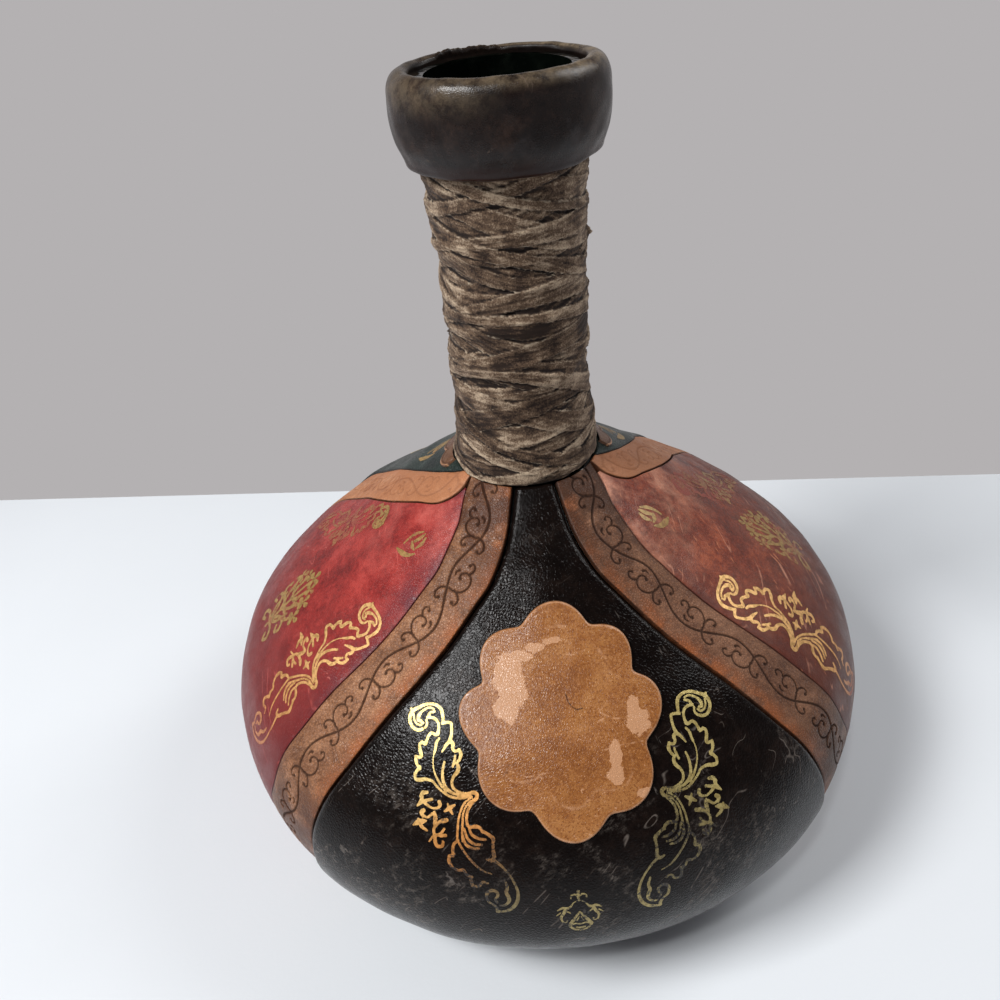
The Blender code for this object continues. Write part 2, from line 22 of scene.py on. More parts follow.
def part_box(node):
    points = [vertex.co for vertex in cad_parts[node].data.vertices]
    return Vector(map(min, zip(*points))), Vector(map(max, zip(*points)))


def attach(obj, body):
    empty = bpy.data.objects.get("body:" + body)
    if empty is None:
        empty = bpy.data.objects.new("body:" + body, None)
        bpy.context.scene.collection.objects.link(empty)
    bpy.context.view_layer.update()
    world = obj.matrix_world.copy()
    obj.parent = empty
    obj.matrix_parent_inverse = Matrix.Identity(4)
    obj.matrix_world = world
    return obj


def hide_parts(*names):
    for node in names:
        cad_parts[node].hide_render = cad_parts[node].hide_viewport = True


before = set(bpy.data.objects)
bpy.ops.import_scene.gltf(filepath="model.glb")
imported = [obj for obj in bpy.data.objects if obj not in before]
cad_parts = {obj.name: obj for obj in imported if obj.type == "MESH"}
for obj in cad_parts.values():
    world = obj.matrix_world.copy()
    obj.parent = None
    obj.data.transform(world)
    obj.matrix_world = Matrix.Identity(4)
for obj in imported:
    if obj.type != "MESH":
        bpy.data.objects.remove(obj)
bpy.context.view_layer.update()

LOG = logging.getLogger("bottle")
Array = np.ndarray
Socket = bpy.types.NodeSocket
Material = bpy.types.Material
Piece = bpy.types.Object
Colour = tuple[float, float, float, float]
MM = 0.001
TAU = 2.0 * math.pi
ROOT = "root"

# Driving sizes that no box of the frame gives
BODY_RADIUS = 100.0
EQUATOR_HEIGHT = 40.0
BASE_EDGE_RADIUS = 62.0
BASE_EDGE_LIFT = 0.6
SKIN_TOP_RADIUS = 20.6
SKIN_THICKNESS = 2.0
PANEL_PROUD = 1.2
MOUTH_RADIUS = 19.1
WRAP_CLEARANCE = 0.4

# Distance that stands for far from any edge
AWAY = 9.0

# Outline of the body above the equator: share of the way out from the neck, share of the rise
UPPER_SHARES = (
    (0.0, 1.0), (0.04, 0.97), (0.085, 0.936), (0.17, 0.875), (0.245, 0.828), (0.395, 0.709), (0.56, 0.588),
    (0.71, 0.486), (0.835, 0.373), (0.925, 0.275), (0.981, 0.143), (1.0, 0.0),
)
# Outline below the equator: share of the way out from the base edge, share of the drop
LOWER_SHARES = ((0.96, 0.26), (0.84, 0.49), (0.63, 0.76), (0.38, 0.93), (0.0, 1.0))
# Seams: share of the way down the skin, then turns in degrees of the front band's edges and the back band's
SEAM_SHARES = np.array((
    (0.000, 16.2, 55.5, 55.5, 66.0),
    (0.030, 16.0, 50.5, 56.5, 83.0),
    (0.065, 15.9, 44.5, 65.0, 98.0),
    (0.095, 16.6, 42.5, 79.0, 107.0),
    (0.150, 19.4, 41.0, 95.0, 118.5),
    (0.200, 24.2, 43.2, 106.0, 126.5),
    (0.255, 28.3, 45.2, 115.0, 132.0),
    (0.360, 35.0, 49.4, 123.5, 138.5),
    (0.475, 40.2, 53.1, 125.5, 139.0),
    (0.590, 44.1, 55.6, 123.0, 136.5),
    (0.665, 45.3, 58.3, 121.0, 135.0),
    (1.000, 47.0, 60.0, 120.0, 133.0),
))
# How far the real seams lean round from even ones, in degrees, on the upper body
SEAM_LEANS = (0.0, -1.2, -1.5, 2.2, 2.4)
LEAN_BIAS_SHARE = 0.7
PROUD_BIAS_SHARE = 1.7
# Outside of the collar, from its foot up and over into the mouth: share of the way out, share of its height
COLLAR_SHARES = (
    (0.38, 0.0), (0.57, 0.03), (0.66, 0.10), (0.76, 0.17), (0.89, 0.27), (0.97, 0.40), (1.0, 0.54),
    (0.99, 0.68), (0.94, 0.82), (0.76, 0.93), (0.48, 0.99), (0.24, 0.995), (0.07, 0.96), (0.0, 0.915),
    (-0.08, 0.89), (-0.25, 0.883), (-0.46, 0.88),
)


def measured(node: str) -> tuple[Array, Array]:
    """Lowest and highest corner of a CAD node, in millimetres."""
    low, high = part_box(node)
    return np.array(low) / MM, np.array(high) / MM


def through(knots: Array, values: Array, places: Array) -> Array:
    """Smooth curve through given values.

    Args:
        knots: Growing places of the given values.
        values: One value, or one row of values, for each knot.
        places: Where to read the curve; beyond the ends it stays level.

    Returns:
        The values at the places.
    """
    last = len(knots) - 1
    index = np.arange(last + 1)
    before, after = np.maximum(index - 1, 0), np.minimum(index + 1, last)
    spans = (knots[after] - knots[before]).reshape(-1, *([1] * (values.ndim - 1)))
    slopes = (values[after] - values[before]) / spans
    places = np.clip(places, knots[0], knots[-1])
    start = np.clip(np.searchsorted(knots, places, side="right") - 1, 0, last - 1)
    span = knots[start + 1] - knots[start]
    t = (places - knots[start]) / span
    weights = (
        2 * t**3 - 3 * t**2 + 1, 3 * t**2 - 2 * t**3, (t**3 - 2 * t**2 + t) * span, (t**3 - t**2) * span,
    )
    if values.ndim > 1:
        weights = tuple(weight[..., None] for weight in weights)
    return (
        weights[0] * values[start] + weights[1] * values[start + 1]
        + weights[2] * slopes[start] + weights[3] * slopes[start + 1]
    )


def lengths(points: Array) -> Array:
    """Distance of each point along the line through them."""
    return np.r_[0.0, np.cumsum(np.linalg.norm(np.diff(points, axis=0), axis=1))]


def blurred(values: Array, step: int = 1, axis: int = 0) -> Array:
    """Each value mixed with those a step before and after it, round and round."""
    return 0.25 * np.roll(values, step, axis) + 0.5 * values + 0.25 * np.roll(values, -step, axis)


def round_axis(radius: Array, turn: Array, height: Array) -> Array:
    """Points at a radius and a height, turned about the axis from the front."""
    return np.stack([radius * np.sin(turn), -radius * np.cos(turn), height], axis=-1)


def rise(value: Array | float, start: float, end: float) -> Array:
    """Soft step from 0 at the start to 1 at the end, which may lie on either side of it."""
    t = np.clip((np.asarray(value, float) - start) / (end - start), 0.0, 1.0)
    return t * t * (3 - 2 * t)


class Outline:
    """A smooth curve of radius against height, read by the distance along it."""

    STEPS = 40  # points of the curve for each corner

    def __init__(self, points: Sequence[tuple[float, float]]) -> None:
        """Runs the curve through the points, each a radius and a height.

        Args:
            points: Corners as radius and height, from its start.
        """
        rough = np.array(points, float)
        knots = lengths(rough)
        curve = through(knots, rough, np.linspace(0.0, knots[-1], len(points) * self.STEPS))
        self.points = curve
        self.along = lengths(curve)
        self.length = float(self.along[-1])
        heading = np.gradient(curve, axis=0)
        heading /= np.linalg.norm(heading, axis=1, keepdims=True)
        self.normals = np.c_[-heading[:, 1], heading[:, 0]]

    def at(self, distance: Array, lift: Array | float = 0.0) -> tuple[Array, Array]:
        """Radius and height at a distance, lifted off the curve to its left side.

        Args:
            distance: Distances along the outline.
            lift: Distance off the outline.

        Returns:
            Radii and heights.
        """
        radius, height, out, up = (
            np.interp(distance, self.along, column) for column in (*self.points.T, *self.normals.T)
        )
        return radius + out * lift, height + up * lift


def skin_outline() -> Outline:
    """Outer side of the bands, from the top edge of the skin down to its edge at the base.

    Returns:
        The skin's outer profile, from its top edge down to the base.
    """
    top = measured("neck_wrap")[0][2] - WRAP_CLEARANCE
    radius = BODY_RADIUS
    points = [
        (SKIN_TOP_RADIUS + (radius - SKIN_TOP_RADIUS) * out, EQUATOR_HEIGHT + (top - EQUATOR_HEIGHT) * up)
        for out, up in UPPER_SHARES
    ]
    drop = EQUATOR_HEIGHT - BASE_EDGE_LIFT
    points += [
        (BASE_EDGE_RADIUS + (radius - BASE_EDGE_RADIUS) * out, EQUATOR_HEIGHT - drop * down)
        for out, down in LOWER_SHARES
    ]
    return Outline(points)


SKIN = skin_outline()


def on_skin(down: Array, turn: Array, lift: Array | float = 0.0) -> Array:
    """Points on the body, from the distance down, the turn and the lift."""
    radius, height = SKIN.at(down, lift)
    return round_axis(radius, turn, height)


class Ripple:
    """Smooth noise in space, between about -1 and 1: waves in fixed random directions."""

    def __init__(self, size: float, seed: int, waves: int = 20) -> None:
        """Draws the waves; their lengths are about the size in millimetres.

        Args:
            size: Length of a wave.
            seed: Number that picks the waves.
            waves: Number of waves.
        """
        draw = np.random.default_rng(seed)
        heading = draw.normal(size=(waves, 3))
        heading /= np.linalg.norm(heading, axis=1, keepdims=True)
        self.waves = heading * (TAU / (size * draw.uniform(0.7, 1.7, waves)))[:, None]
        self.phases = draw.uniform(0.0, TAU, waves)

    def at(self, points: Array) -> Array:
        """The noise at points in space."""
        total = sum(np.sin(points @ wave + phase) for wave, phase in zip(self.waves, self.phases))
        return total / math.sqrt(2 * len(self.phases))


DENTS = Ripple(17.0, 3)
DENT_DEPTH = 0.16


def grid_faces(rows: int, columns: int, around: bool = False, flip: bool = False) -> Array:
    """Quads of a grid of points, row by row.

    Args:
        rows: Number of rows.
        columns: Number of columns.
        around: Whether the last column joins the first.
        flip: Whether to turn the faces over.

    Returns:
        Four vertex numbers for each face.
    """
    across = columns if around else columns - 1
    row, column = np.meshgrid(np.arange(rows - 1), np.arange(across), indexing="ij")
    beside = (column + 1) % columns
    corners = [
        row * columns + column, (row + 1) * columns + column, (row + 1) * columns + beside,
        row * columns + beside,
    ]
    faces = np.stack([corner.ravel() for corner in corners], axis=1)
    return faces[:, ::-1] if flip else faces


def fan(hub: int, rays: int, flip: bool = False) -> Array:
    """Quads from a ring of points to a hub in its middle.

    Args:
        hub: Number of the hub's vertex.
        rays: Points in the ring, whose numbers start at 0.
        flip: Whether to turn the faces over.

    Returns:
        Four vertex numbers for each face.
    """
    ring = np.arange(0, rays, 2)
    faces = np.stack([np.full(len(ring), hub), ring, (ring + 1) % rays, (ring + 2) % rays], axis=1)
    return faces[:, [0, 3, 2, 1]] if flip else faces


def add_piece(
    name: str, points: Array, faces: Array, material: Material,
    nodes: Sequence[str] = (), layers: dict[str, Array] | None = None,
) -> Piece:
    """Smooth-shaded piece that rides on the bottle.

    Args:
        name: Name of the piece.
        points: Vertices in millimetres.
        faces: Four vertex numbers for each face.
        material: Its material.
        nodes: CAD nodes that it replaces.
        layers: Values for each vertex that its material reads, by name.

    Returns:
        The new object.
    """
    mesh = bpy.data.meshes.new(name)
    points = points.reshape(-1, 3)
    mesh.vertices.add(len(points))
    mesh.vertices.foreach_set("co", (points * MM).astype(np.float32).ravel())
    mesh.loops.add(faces.size)
    mesh.loops.foreach_set("vertex_index", faces.astype(np.int32).ravel())
    mesh.polygons.add(len(faces))
    mesh.polygons.foreach_set("loop_start", np.arange(0, faces.size, faces.shape[1], dtype=np.int32))
    mesh.update(calc_edges=True)
    mesh.shade_smooth()
    for layer, values in (layers or {}).items():
        data = mesh.attributes.new(layer, "FLOAT", "POINT").data
        data.foreach_set("value", values.astype(np.float32).ravel())
    mesh.materials.append(material)
    piece = bpy.data.objects.new(name, mesh)
    bpy.context.scene.collection.objects.link(piece)
    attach(piece, ROOT)
    if nodes:
        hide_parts(*nodes)
    LOG.info("%s: %d faces", name, len(faces))
    return piece


# Materials


def tint(red: int, green: int, blue: int) -> Colour:
    """Linear colour of a screen colour.

    Args:
        red: Its red, from 0 to 255.
        green: Its green.
        blue: Its blue.

    Returns:
        The colour, opaque.
    """
    shares = [value / 255.0 for value in (red, green, blue)]
    linear = [part / 12.92 if part <= 0.04045 else ((part + 0.055) / 1.055) ** 2.4 for part in shares]
    return (*linear, 1.0)


class Graph:
    """Short way to write a material's nodes. Sizes are in millimetres on the object."""

    def __init__(self, name: str) -> None:
        """Makes the material, with one shader.

        Args:
            name: Name of the material.
        """
        self.material = bpy.data.materials.new(name)
        self.material.use_nodes = True
        self.nodes = self.material.node_tree.nodes
        self.shader = self.nodes["Principled BSDF"]
        self.place = self.node("ShaderNodeTexCoord").outputs["Object"]

    def node(self, kind: str, inputs: dict | None = None, **settings: object) -> bpy.types.Node:
        """New node.

        Args:
            kind: Blender's name of the node type.
            inputs: For each input, by name or number, a value or the output to link to it.
            settings: The node's own settings.

        Returns:
            The node.
        """
        made = self.nodes.new(kind)
        for key, value in settings.items():
            setattr(made, key, value)
        for key, value in (inputs or {}).items():
            if isinstance(value, Socket):
                self.material.node_tree.links.new(value, made.inputs[key])
            else:
                made.inputs[key].default_value = value
        return made

    def set(self, **inputs: object) -> None:
        """Sets or links the shader's inputs; a name's underscores stand for spaces.

        Args:
            inputs: Value or output for each input.
        """
        for key, value in inputs.items():
            socket = self.shader.inputs[key.replace("_", " ")]
            if isinstance(value, Socket):
                self.material.node_tree.links.new(value, socket)
            else:
                socket.default_value = value

    def noise(self, size: float, detail: float = 4.0, rough: float = 0.55, place: object = None) -> Socket:
        """Cloudy noise whose features are about the size.

        Args:
            size: Size of its features.
            detail: How many finer noises are laid over it.
            rough: How strong they are.
            place: Coordinates, where they aren't the object's own.

        Returns:
            The noise, from 0 to 1.
        """
        inputs = {
            "Vector": place or self.place, "Scale": 1.0 / (size * MM), "Detail": detail, "Roughness": rough,
        }
        return self.node("ShaderNodeTexNoise", inputs).outputs["Fac"]

    def stretched(self, along: tuple[float, float, float],
                  turned: tuple[float, float, float] = (0, 0, 0)) -> object:
        """Coordinates turned and stretched, for streaks.

        Args:
            along: Factor on each axis; a small one draws the pattern out.
            turned: Turn of the axes.

        Returns:
            The coordinates.
        """
        return self.node(
            "ShaderNodeMapping",
            {"Vector": self.place, "Rotation": turned, "Scale": tuple(1 / part for part in along)},
            vector_type="TEXTURE",
        ).outputs["Vector"]

    def math(self, kind: str, first: object, second: object = 0.0) -> Socket:
        """An operation on two values."""
        return self.node("ShaderNodeMath", {0: first, 1: second}, operation=kind).outputs[0]

    def times(self, first: object, second: object) -> Socket:
        """Product of two values."""
        return self.math("MULTIPLY", first, second)

    def plus(self, first: object, second: object) -> Socket:
        """Sum of two values."""
        return self.math("ADD", first, second)

    def cloud(self, size: float, detail: float, rough: float, start: float, end: float, low: float = 0.0,
              high: float = 1.0) -> Socket:
        """Noise with a soft step from low at the start to high at the end."""
        return self.remap(self.noise(size, detail, rough), start, end, low, high)

    def scratches(self, size: float, detail: float, place: Socket, width: float) -> Socket:
        """Thin lines where drawn-out noise passes its middle.

        Args:
            size: Size of the noise.
            detail: Detail of the noise.
            place: Stretched coordinates.
            width: Half the lines' width, as a share of the noise.

        Returns:
            1 on a line and 0 off it.
        """
        middle = self.math("SUBTRACT", self.noise(size, detail, 0.5, place), 0.5)
        return self.remap(self.math("ABSOLUTE", middle), width, 0.0)

    def remap(self, value: object, start: float, end: float, low: float = 0.0, high: float = 1.0) -> Socket:
        """Soft step of a value, from low at the start to high at the end."""
        inputs = {"Value": value, "From Min": start, "From Max": end, "To Min": low, "To Max": high}
        return self.node("ShaderNodeMapRange", inputs, interpolation_type="SMOOTHSTEP").outputs["Result"]

    def ramp(self, value: object, stops: Sequence[tuple[float, tuple]]) -> Socket:
        """Colour from a value, between the given stops.

        Args:
            value: Place between the stops.
            stops: Place and colour of each stop.

        Returns:
            The colour.
        """
        made = self.node("ShaderNodeValToRGB", {"Fac": value})
        elements = made.color_ramp.elements
        while len(elements) < len(stops):
            elements.new(0.5)
        for element, (place, colour) in zip(elements, stops):
            element.position, element.color = place, colour
        return made.outputs["Color"]

    def mix(self, share: object, first: object, second: object, kind: str = "MIX") -> Socket:
        """Mixes two colours, which are inputs 6 and 7 and output 2 of Blender's node."""
        return self.node("ShaderNodeMix", {0: share, 6: first, 7: second}, data_type="RGBA",
                         blend_type=kind).outputs[2]

    def layer(self, name: str) -> Socket:
        """A mesh's own values."""
        return self.node("ShaderNodeAttribute", attribute_name=name).outputs["Fac"]

    def bump(self, height: object, depth: float, below: object = None) -> Socket:
        """Relief of a height from 0 to 1, over a depth, on top of another relief.

        Args:
            height: Relief, from 0 to 1.
            depth: Its full depth.
            below: Relief under it.

        Returns:
            The bent normal.
        """
        inputs = {"Height": height, "Distance": depth * MM, "Strength": 1.0}
        if below is not None:
            inputs["Normal"] = below
        return self.node("ShaderNodeBump", inputs).outputs["Normal"]


@dataclass(frozen=True)
class Leather:
    """Leather finish: mottled colour, pebbled grain, darker seams, tooled lines and rubbed places."""

    name: str
    dark: Colour
    base: Colour
    light: Colour
    seam: Colour
    mottle: float = 9.0
    grain: float = 0.8
    grain_depth: float = 0.10
    rough: tuple[float, float] = (0.38, 0.55)
    seam_reach: float = 0.4
    scuff: Colour = tint(190, 150, 120)
    scuff_start: float = 0.70
    sunk: float = 0.12
    shine: float = 0.3
    crease: float = 0.0
    speckle: float = 0.15

    def colour(self, graph: Graph) -> Socket:
        """Mottled colour before seams and tooling.

        Args:
            graph: Material that is made.

        Returns:
            The colour.
        """
        cloud = graph.times(graph.noise(self.mottle, 5, 0.62), 0.62)
        cloud = graph.plus(cloud, graph.times(graph.noise(self.mottle / 6, 4, 0.65), 0.38))
        colour = graph.ramp(cloud, ((0.36, self.dark), (0.50, self.base), (0.64, self.light)))
        fine = graph.noise(self.grain * 0.95, 3, 0.6)
        colour = graph.mix(graph.times(graph.remap(fine, 0.52, 0.66), self.speckle), colour, self.dark)
        return graph.mix(graph.times(graph.remap(fine, 0.48, 0.34), self.speckle * 0.8), colour, self.light)

    def marks(self, graph: Graph, colour: Socket) -> Socket:
        """Marks of this piece alone, over the mottled colour."""
        return colour

    def reflection(self, graph: Graph) -> object:
        """Strength of the finish's reflection."""
        return self.shine

    def material(self) -> Material:
        """The finish as a material.

        Returns:
            The material.
        """
        graph = Graph(self.name)
        colour = self.marks(graph, self.colour(graph))
        drift = {"Vector": graph.place, "Scale": 1 / (self.grain * 2 * MM)}
        drift = graph.node("ShaderNodeTexNoise", drift).outputs["Color"]
        warped = graph.mix(0.18 * self.grain * MM, graph.place, drift, "ADD")
        cell = {"Vector": warped, "Scale": 1.0 / (self.grain * MM)}
        pebble = graph.node("ShaderNodeTexVoronoi", cell, feature="DISTANCE_TO_EDGE").outputs["Distance"]
        raised = graph.remap(pebble, 0.0, 0.32)
        pores = graph.noise(self.grain / 2.6, 3, 0.7)
        streaks = graph.noise(1.3, 5, 0.6, graph.stretched((1.0, 0.16, 0.5), (0.4, 0.3, 0.7)))
        rubbed = graph.remap(streaks, self.scuff_start, self.scuff_start + 0.06)
        rubbed = graph.times(rubbed, graph.cloud(22.0, 2, 0.55, 0.45, 0.62))
        colour = graph.mix(graph.times(rubbed, 0.55), colour, self.scuff)
        sunk = graph.times(graph.remap(raised, 0.7, 0.0), self.sunk)
        colour = graph.mix(sunk, colour, self.seam)
        near = graph.remap(graph.layer("edge"), self.seam_reach, self.seam_reach * 0.25)
        near = graph.times(near, graph.cloud(3.0, 3, 0.55, 0.25, 0.6, 0.6, 1.0))
        colour = graph.mix(graph.times(near, 0.85), colour, self.seam)
        # On the collar this layer also carries painted shade: the inside of the mouth goes near black
        tooled = graph.layer("tool")
        colour = graph.mix(graph.times(tooled, 0.82), colour, self.seam)
        low, high = self.rough
        gloss = graph.remap(graph.noise(5.0, 4, 0.6), 0.3, 0.7, low, high)
        gloss = graph.plus(gloss, graph.times(sunk, 0.3))
        gloss = graph.plus(gloss, graph.times(tooled, 0.5))
        relief = graph.bump(pores, self.grain_depth * 0.07)
        relief = graph.bump(raised, self.grain_depth, relief)
        folds = graph.noise(2.2, 5, 0.62, graph.stretched((1.0, 0.6, 0.6), (0.4, 0.3, 0.7)))
        relief = graph.bump(folds, self.crease, relief)
        graph.set(Base_Color=colour, Roughness=gloss, Normal=relief,
                  Specular_IOR_Level=self.reflection(graph))
        return graph.material


@dataclass(frozen=True)
class PanelLeather(Leather):
    """Side panel's red leather: purple shade by the front band, pale hazes and long scratches."""

    grain: float = 0.55
    grain_depth: float = 0.04
    rough: tuple[float, float] = (0.28, 0.42)
    shine: float = 0.22
    crease: float = 0.05
    haze: Colour = tint(204, 100, 90)
    shade: Colour = tint(70, 32, 44)

    def marks(self, graph: Graph, colour: Socket) -> Socket:
        """Shade by the band, hazes and scratches.

        Args:
            graph: Material that is made.
            colour: Mottled colour.

        Returns:
            The colour with its marks.
        """
        beside = graph.remap(graph.layer("front"), 11.0, 0.0)
        beside = graph.times(beside, graph.cloud(9.0, 4, 0.6, 0.36, 0.62))
        colour = graph.mix(graph.times(beside, 0.8), colour, self.shade)
        low = graph.times(graph.remap(graph.layer("down"), 48.0, 100.0), 0.93)
        colour = graph.mix(low, colour, self.dark)
        haze = graph.times(graph.cloud(15.0, 6, 0.68, 0.38, 0.72),
                          graph.remap(graph.layer("down"), 10.0, 50.0, 0.95, 0.08))
        colour = graph.mix(haze, colour, self.haze)
        line = graph.scratches(6.0, 1, graph.stretched((1.0, 0.07, 0.8), (0.5, 0.9, 0.5)), 0.012)
        line = graph.times(line, graph.cloud(11.0, 3, 0.55, 0.52, 0.62))
        return graph.mix(graph.times(line, 0.5), colour, self.haze)


@dataclass(frozen=True)
class BlackLeather(Leather):
    """Front panel's black leather: brownish grey low down, partly scuffs and partly painted sheen; fine
    cracks all over.
    """

    # Brownish grey of the scuffs and scratches, and of the painted sheen low down
    haze: Colour = tint(124, 114, 106)

    def marks(self, graph: Graph, colour: Socket) -> Socket:
        """Scuffs low down, partly a painted sheen, and fine cracks.

        Args:
            graph: Material that is made.
            colour: Mottled colour.

        Returns:
            The colour with its marks.
        """
        # Low down: brownish grey haze, partly rubbed scuffs and partly a painted sheen of reflected light
        low = graph.remap(graph.layer("down"), 62.0, 100.0)
        streaks = graph.noise(1.3, 6, 0.8, graph.stretched((0.45, 1.0, 1.0), (0.0, -0.6, 0.0)))
        scuffs_and_sheen = graph.remap(streaks, 0.46, 0.70)
        scuffs_and_sheen = graph.times(scuffs_and_sheen, graph.cloud(17.0, 6, 0.7, 0.48, 0.62))
        colour = graph.mix(graph.times(graph.times(scuffs_and_sheen, low), 0.6), colour, self.haze)
        line = graph.scratches(6.0, 1, graph.stretched((0.08, 1.0, 1.0), (0.0, -0.8, 0.3)), 0.012)
        line = graph.times(line, graph.cloud(9.0, 3, 0.55, 0.54, 0.62))
        line = graph.times(line, graph.remap(graph.layer("down"), 40.0, 80.0, 0.1, 0.5))
        return graph.mix(line, colour, self.haze)


@dataclass(frozen=True)
class BandLeather(Leather):
    """Tooled band: warmer by the front panel, browner towards the side panel."""

    grain: float = 0.7
    grain_depth: float = 0.07
    seam_reach: float = 0.35
    warm: Colour = tint(164, 90, 43)
    # Colour towards which the band darkens at the top and the bottom
    darker_ends: Colour = tint(58, 34, 21)

    def marks(self, graph: Graph, colour: Socket) -> Socket:
        """Warm stripe along one edge, darker towards the top and the bottom.

        Args:
            graph: Material that is made.
            colour: Mottled colour.

        Returns:
            The colour with its marks.
        """
        beside = graph.remap(graph.layer("front"), 6.0, 0.5)
        beside = graph.times(beside, graph.cloud(7.0, 4, 0.6, 0.34, 0.6))
        colour = graph.mix(graph.times(beside, 0.8), colour, self.warm)
        # Darker towards the top
        towards_top = graph.remap(graph.layer("down"), 46.0, 10.0, 0.0, 0.85)
        colour = graph.mix(graph.times(towards_top, graph.cloud(8.0, 5, 0.65, 0.28, 0.55)), colour, self.darker_ends)
        # Darker towards the bottom
        low = graph.times(graph.remap(graph.layer("down"), 70.0, 112.0), 0.85)
        return graph.mix(graph.times(low, graph.cloud(8.0, 5, 0.65, 0.30, 0.58)), colour, self.darker_ends)


@dataclass(frozen=True)
class Gold:
    """Stamped gold foil, rubbed to a faint line or through to a stain on the leather, coppery in places."""

    name: str
    foil: Colour
    stain: Colour
    metal: float = 0.55
    worn: float = 0.5
    copper: Colour = tint(222, 146, 74)
    faint: float = 0.62

    def material(self) -> Material:
        """The finish as a material.

        Returns:
            The material.
        """
        graph = Graph(self.name)
        rubbed = graph.layer("rubbed")
        patchy = graph.times(graph.noise(0.55, 4, 0.75), 0.55)
        patchy = graph.plus(patchy, graph.times(graph.noise(5.0, 3, 0.6), 0.45))
        patchy = graph.plus(patchy, graph.times(rubbed, -0.16))
        kept = graph.remap(patchy, self.worn * 0.4 + 0.18, self.worn * 0.4 + 0.26)
        kept = graph.times(kept, graph.remap(rubbed, 0.2, 1.0, 1.0, 1.0 - self.faint))
        foil = graph.mix(graph.layer("copper"), self.foil, self.copper)
        deep = graph.mix(1.0, foil, (0.60, 0.56, 0.48, 1.0), "MULTIPLY")
        shades = graph.mix(graph.cloud(1.2, 4, 0.65, 0.40, 0.64), foil, deep)
        graph.set(
            Base_Color=graph.mix(kept, self.stain, shades),
            Metallic=graph.times(kept, self.metal),
            Roughness=graph.remap(kept, 0.0, 1.0, 0.5, 0.4),
            Normal=graph.bump(graph.noise(0.35, 3, 0.7), 0.05),
        )
        return graph.material


# Colours of the finishes, as they look on a screen under plain light
BLACK = BlackLeather(
    "black_pebbled_leather", tint(9, 5, 4), tint(15, 9, 7), tint(27, 18, 14), tint(4, 2, 2),
    grain=0.85, grain_depth=0.042, rough=(0.14, 0.22), shine=0.13, crease=0.09,
    scuff=tint(112, 104, 98), scuff_start=0.64,
)
TEAL = Leather(
    "teal_pebbled_leather", tint(22, 30, 28), tint(32, 44, 40), tint(46, 60, 54), tint(8, 10, 9),
    grain=0.75, grain_depth=0.08, rough=(0.26, 0.4), shine=0.22, crease=0.1,
    scuff=tint(110, 112, 102), seam_reach=0.8,
)
RASPBERRY = PanelLeather(
    "raspberry_leather", tint(100, 27, 26), tint(142, 42, 38), tint(174, 62, 55), tint(58, 19, 22),
    scuff=tint(222, 132, 120), scuff_start=0.66, speckle=0.3,
)
RUST = PanelLeather(
    "rust_leather", tint(76, 33, 23), tint(117, 50, 33), tint(160, 80, 50), tint(54, 27, 20),
    scuff=tint(222, 142, 100), scuff_start=0.62, speckle=0.35,
    haze=tint(226, 160, 130), shade=tint(70, 42, 40),
)
TAN_LEFT = BandLeather(
    "mottled_tan_leather", tint(108, 68, 42), tint(150, 102, 70), tint(182, 132, 96), tint(40, 22, 14),
    mottle=7.0, rough=(0.28, 0.42), sunk=0.3, shine=0.24, crease=0.18, speckle=0.6, darker_ends=tint(72, 38, 20),
)
TAN_RIGHT = BandLeather(
    "brown_tan_leather", tint(92, 60, 44), tint(122, 84, 62), tint(148, 106, 80), tint(34, 20, 14),
    mottle=10.0, rough=(0.30, 0.44), sunk=0.3, shine=0.2, crease=0.12, speckle=0.5, warm=tint(160, 90, 48),
)
TAN_BACK = BandLeather(
    "light_tan_leather", tint(150, 92, 58), tint(182, 120, 80), tint(202, 144, 104), tint(70, 38, 24),
    mottle=9.0, grain_depth=0.05, crease=0.08, warm=tint(184, 114, 70), darker_ends=tint(170, 112, 76),
)
FOIL_BRIGHT = Gold("bright_gold_foil", tint(208, 188, 122), tint(26, 19, 15), metal=0.5, worn=0.36,
                   faint=0.78)
FOIL_ON_RED = Gold("gold_foil_on_red", tint(242, 198, 132), tint(136, 58, 44), worn=0.24)
FOIL_OLIVE = Gold("olive_gold_stain", tint(160, 128, 70), tint(140, 62, 46), metal=0.1, worn=0.46, faint=0.5)


# Strokes and stencils


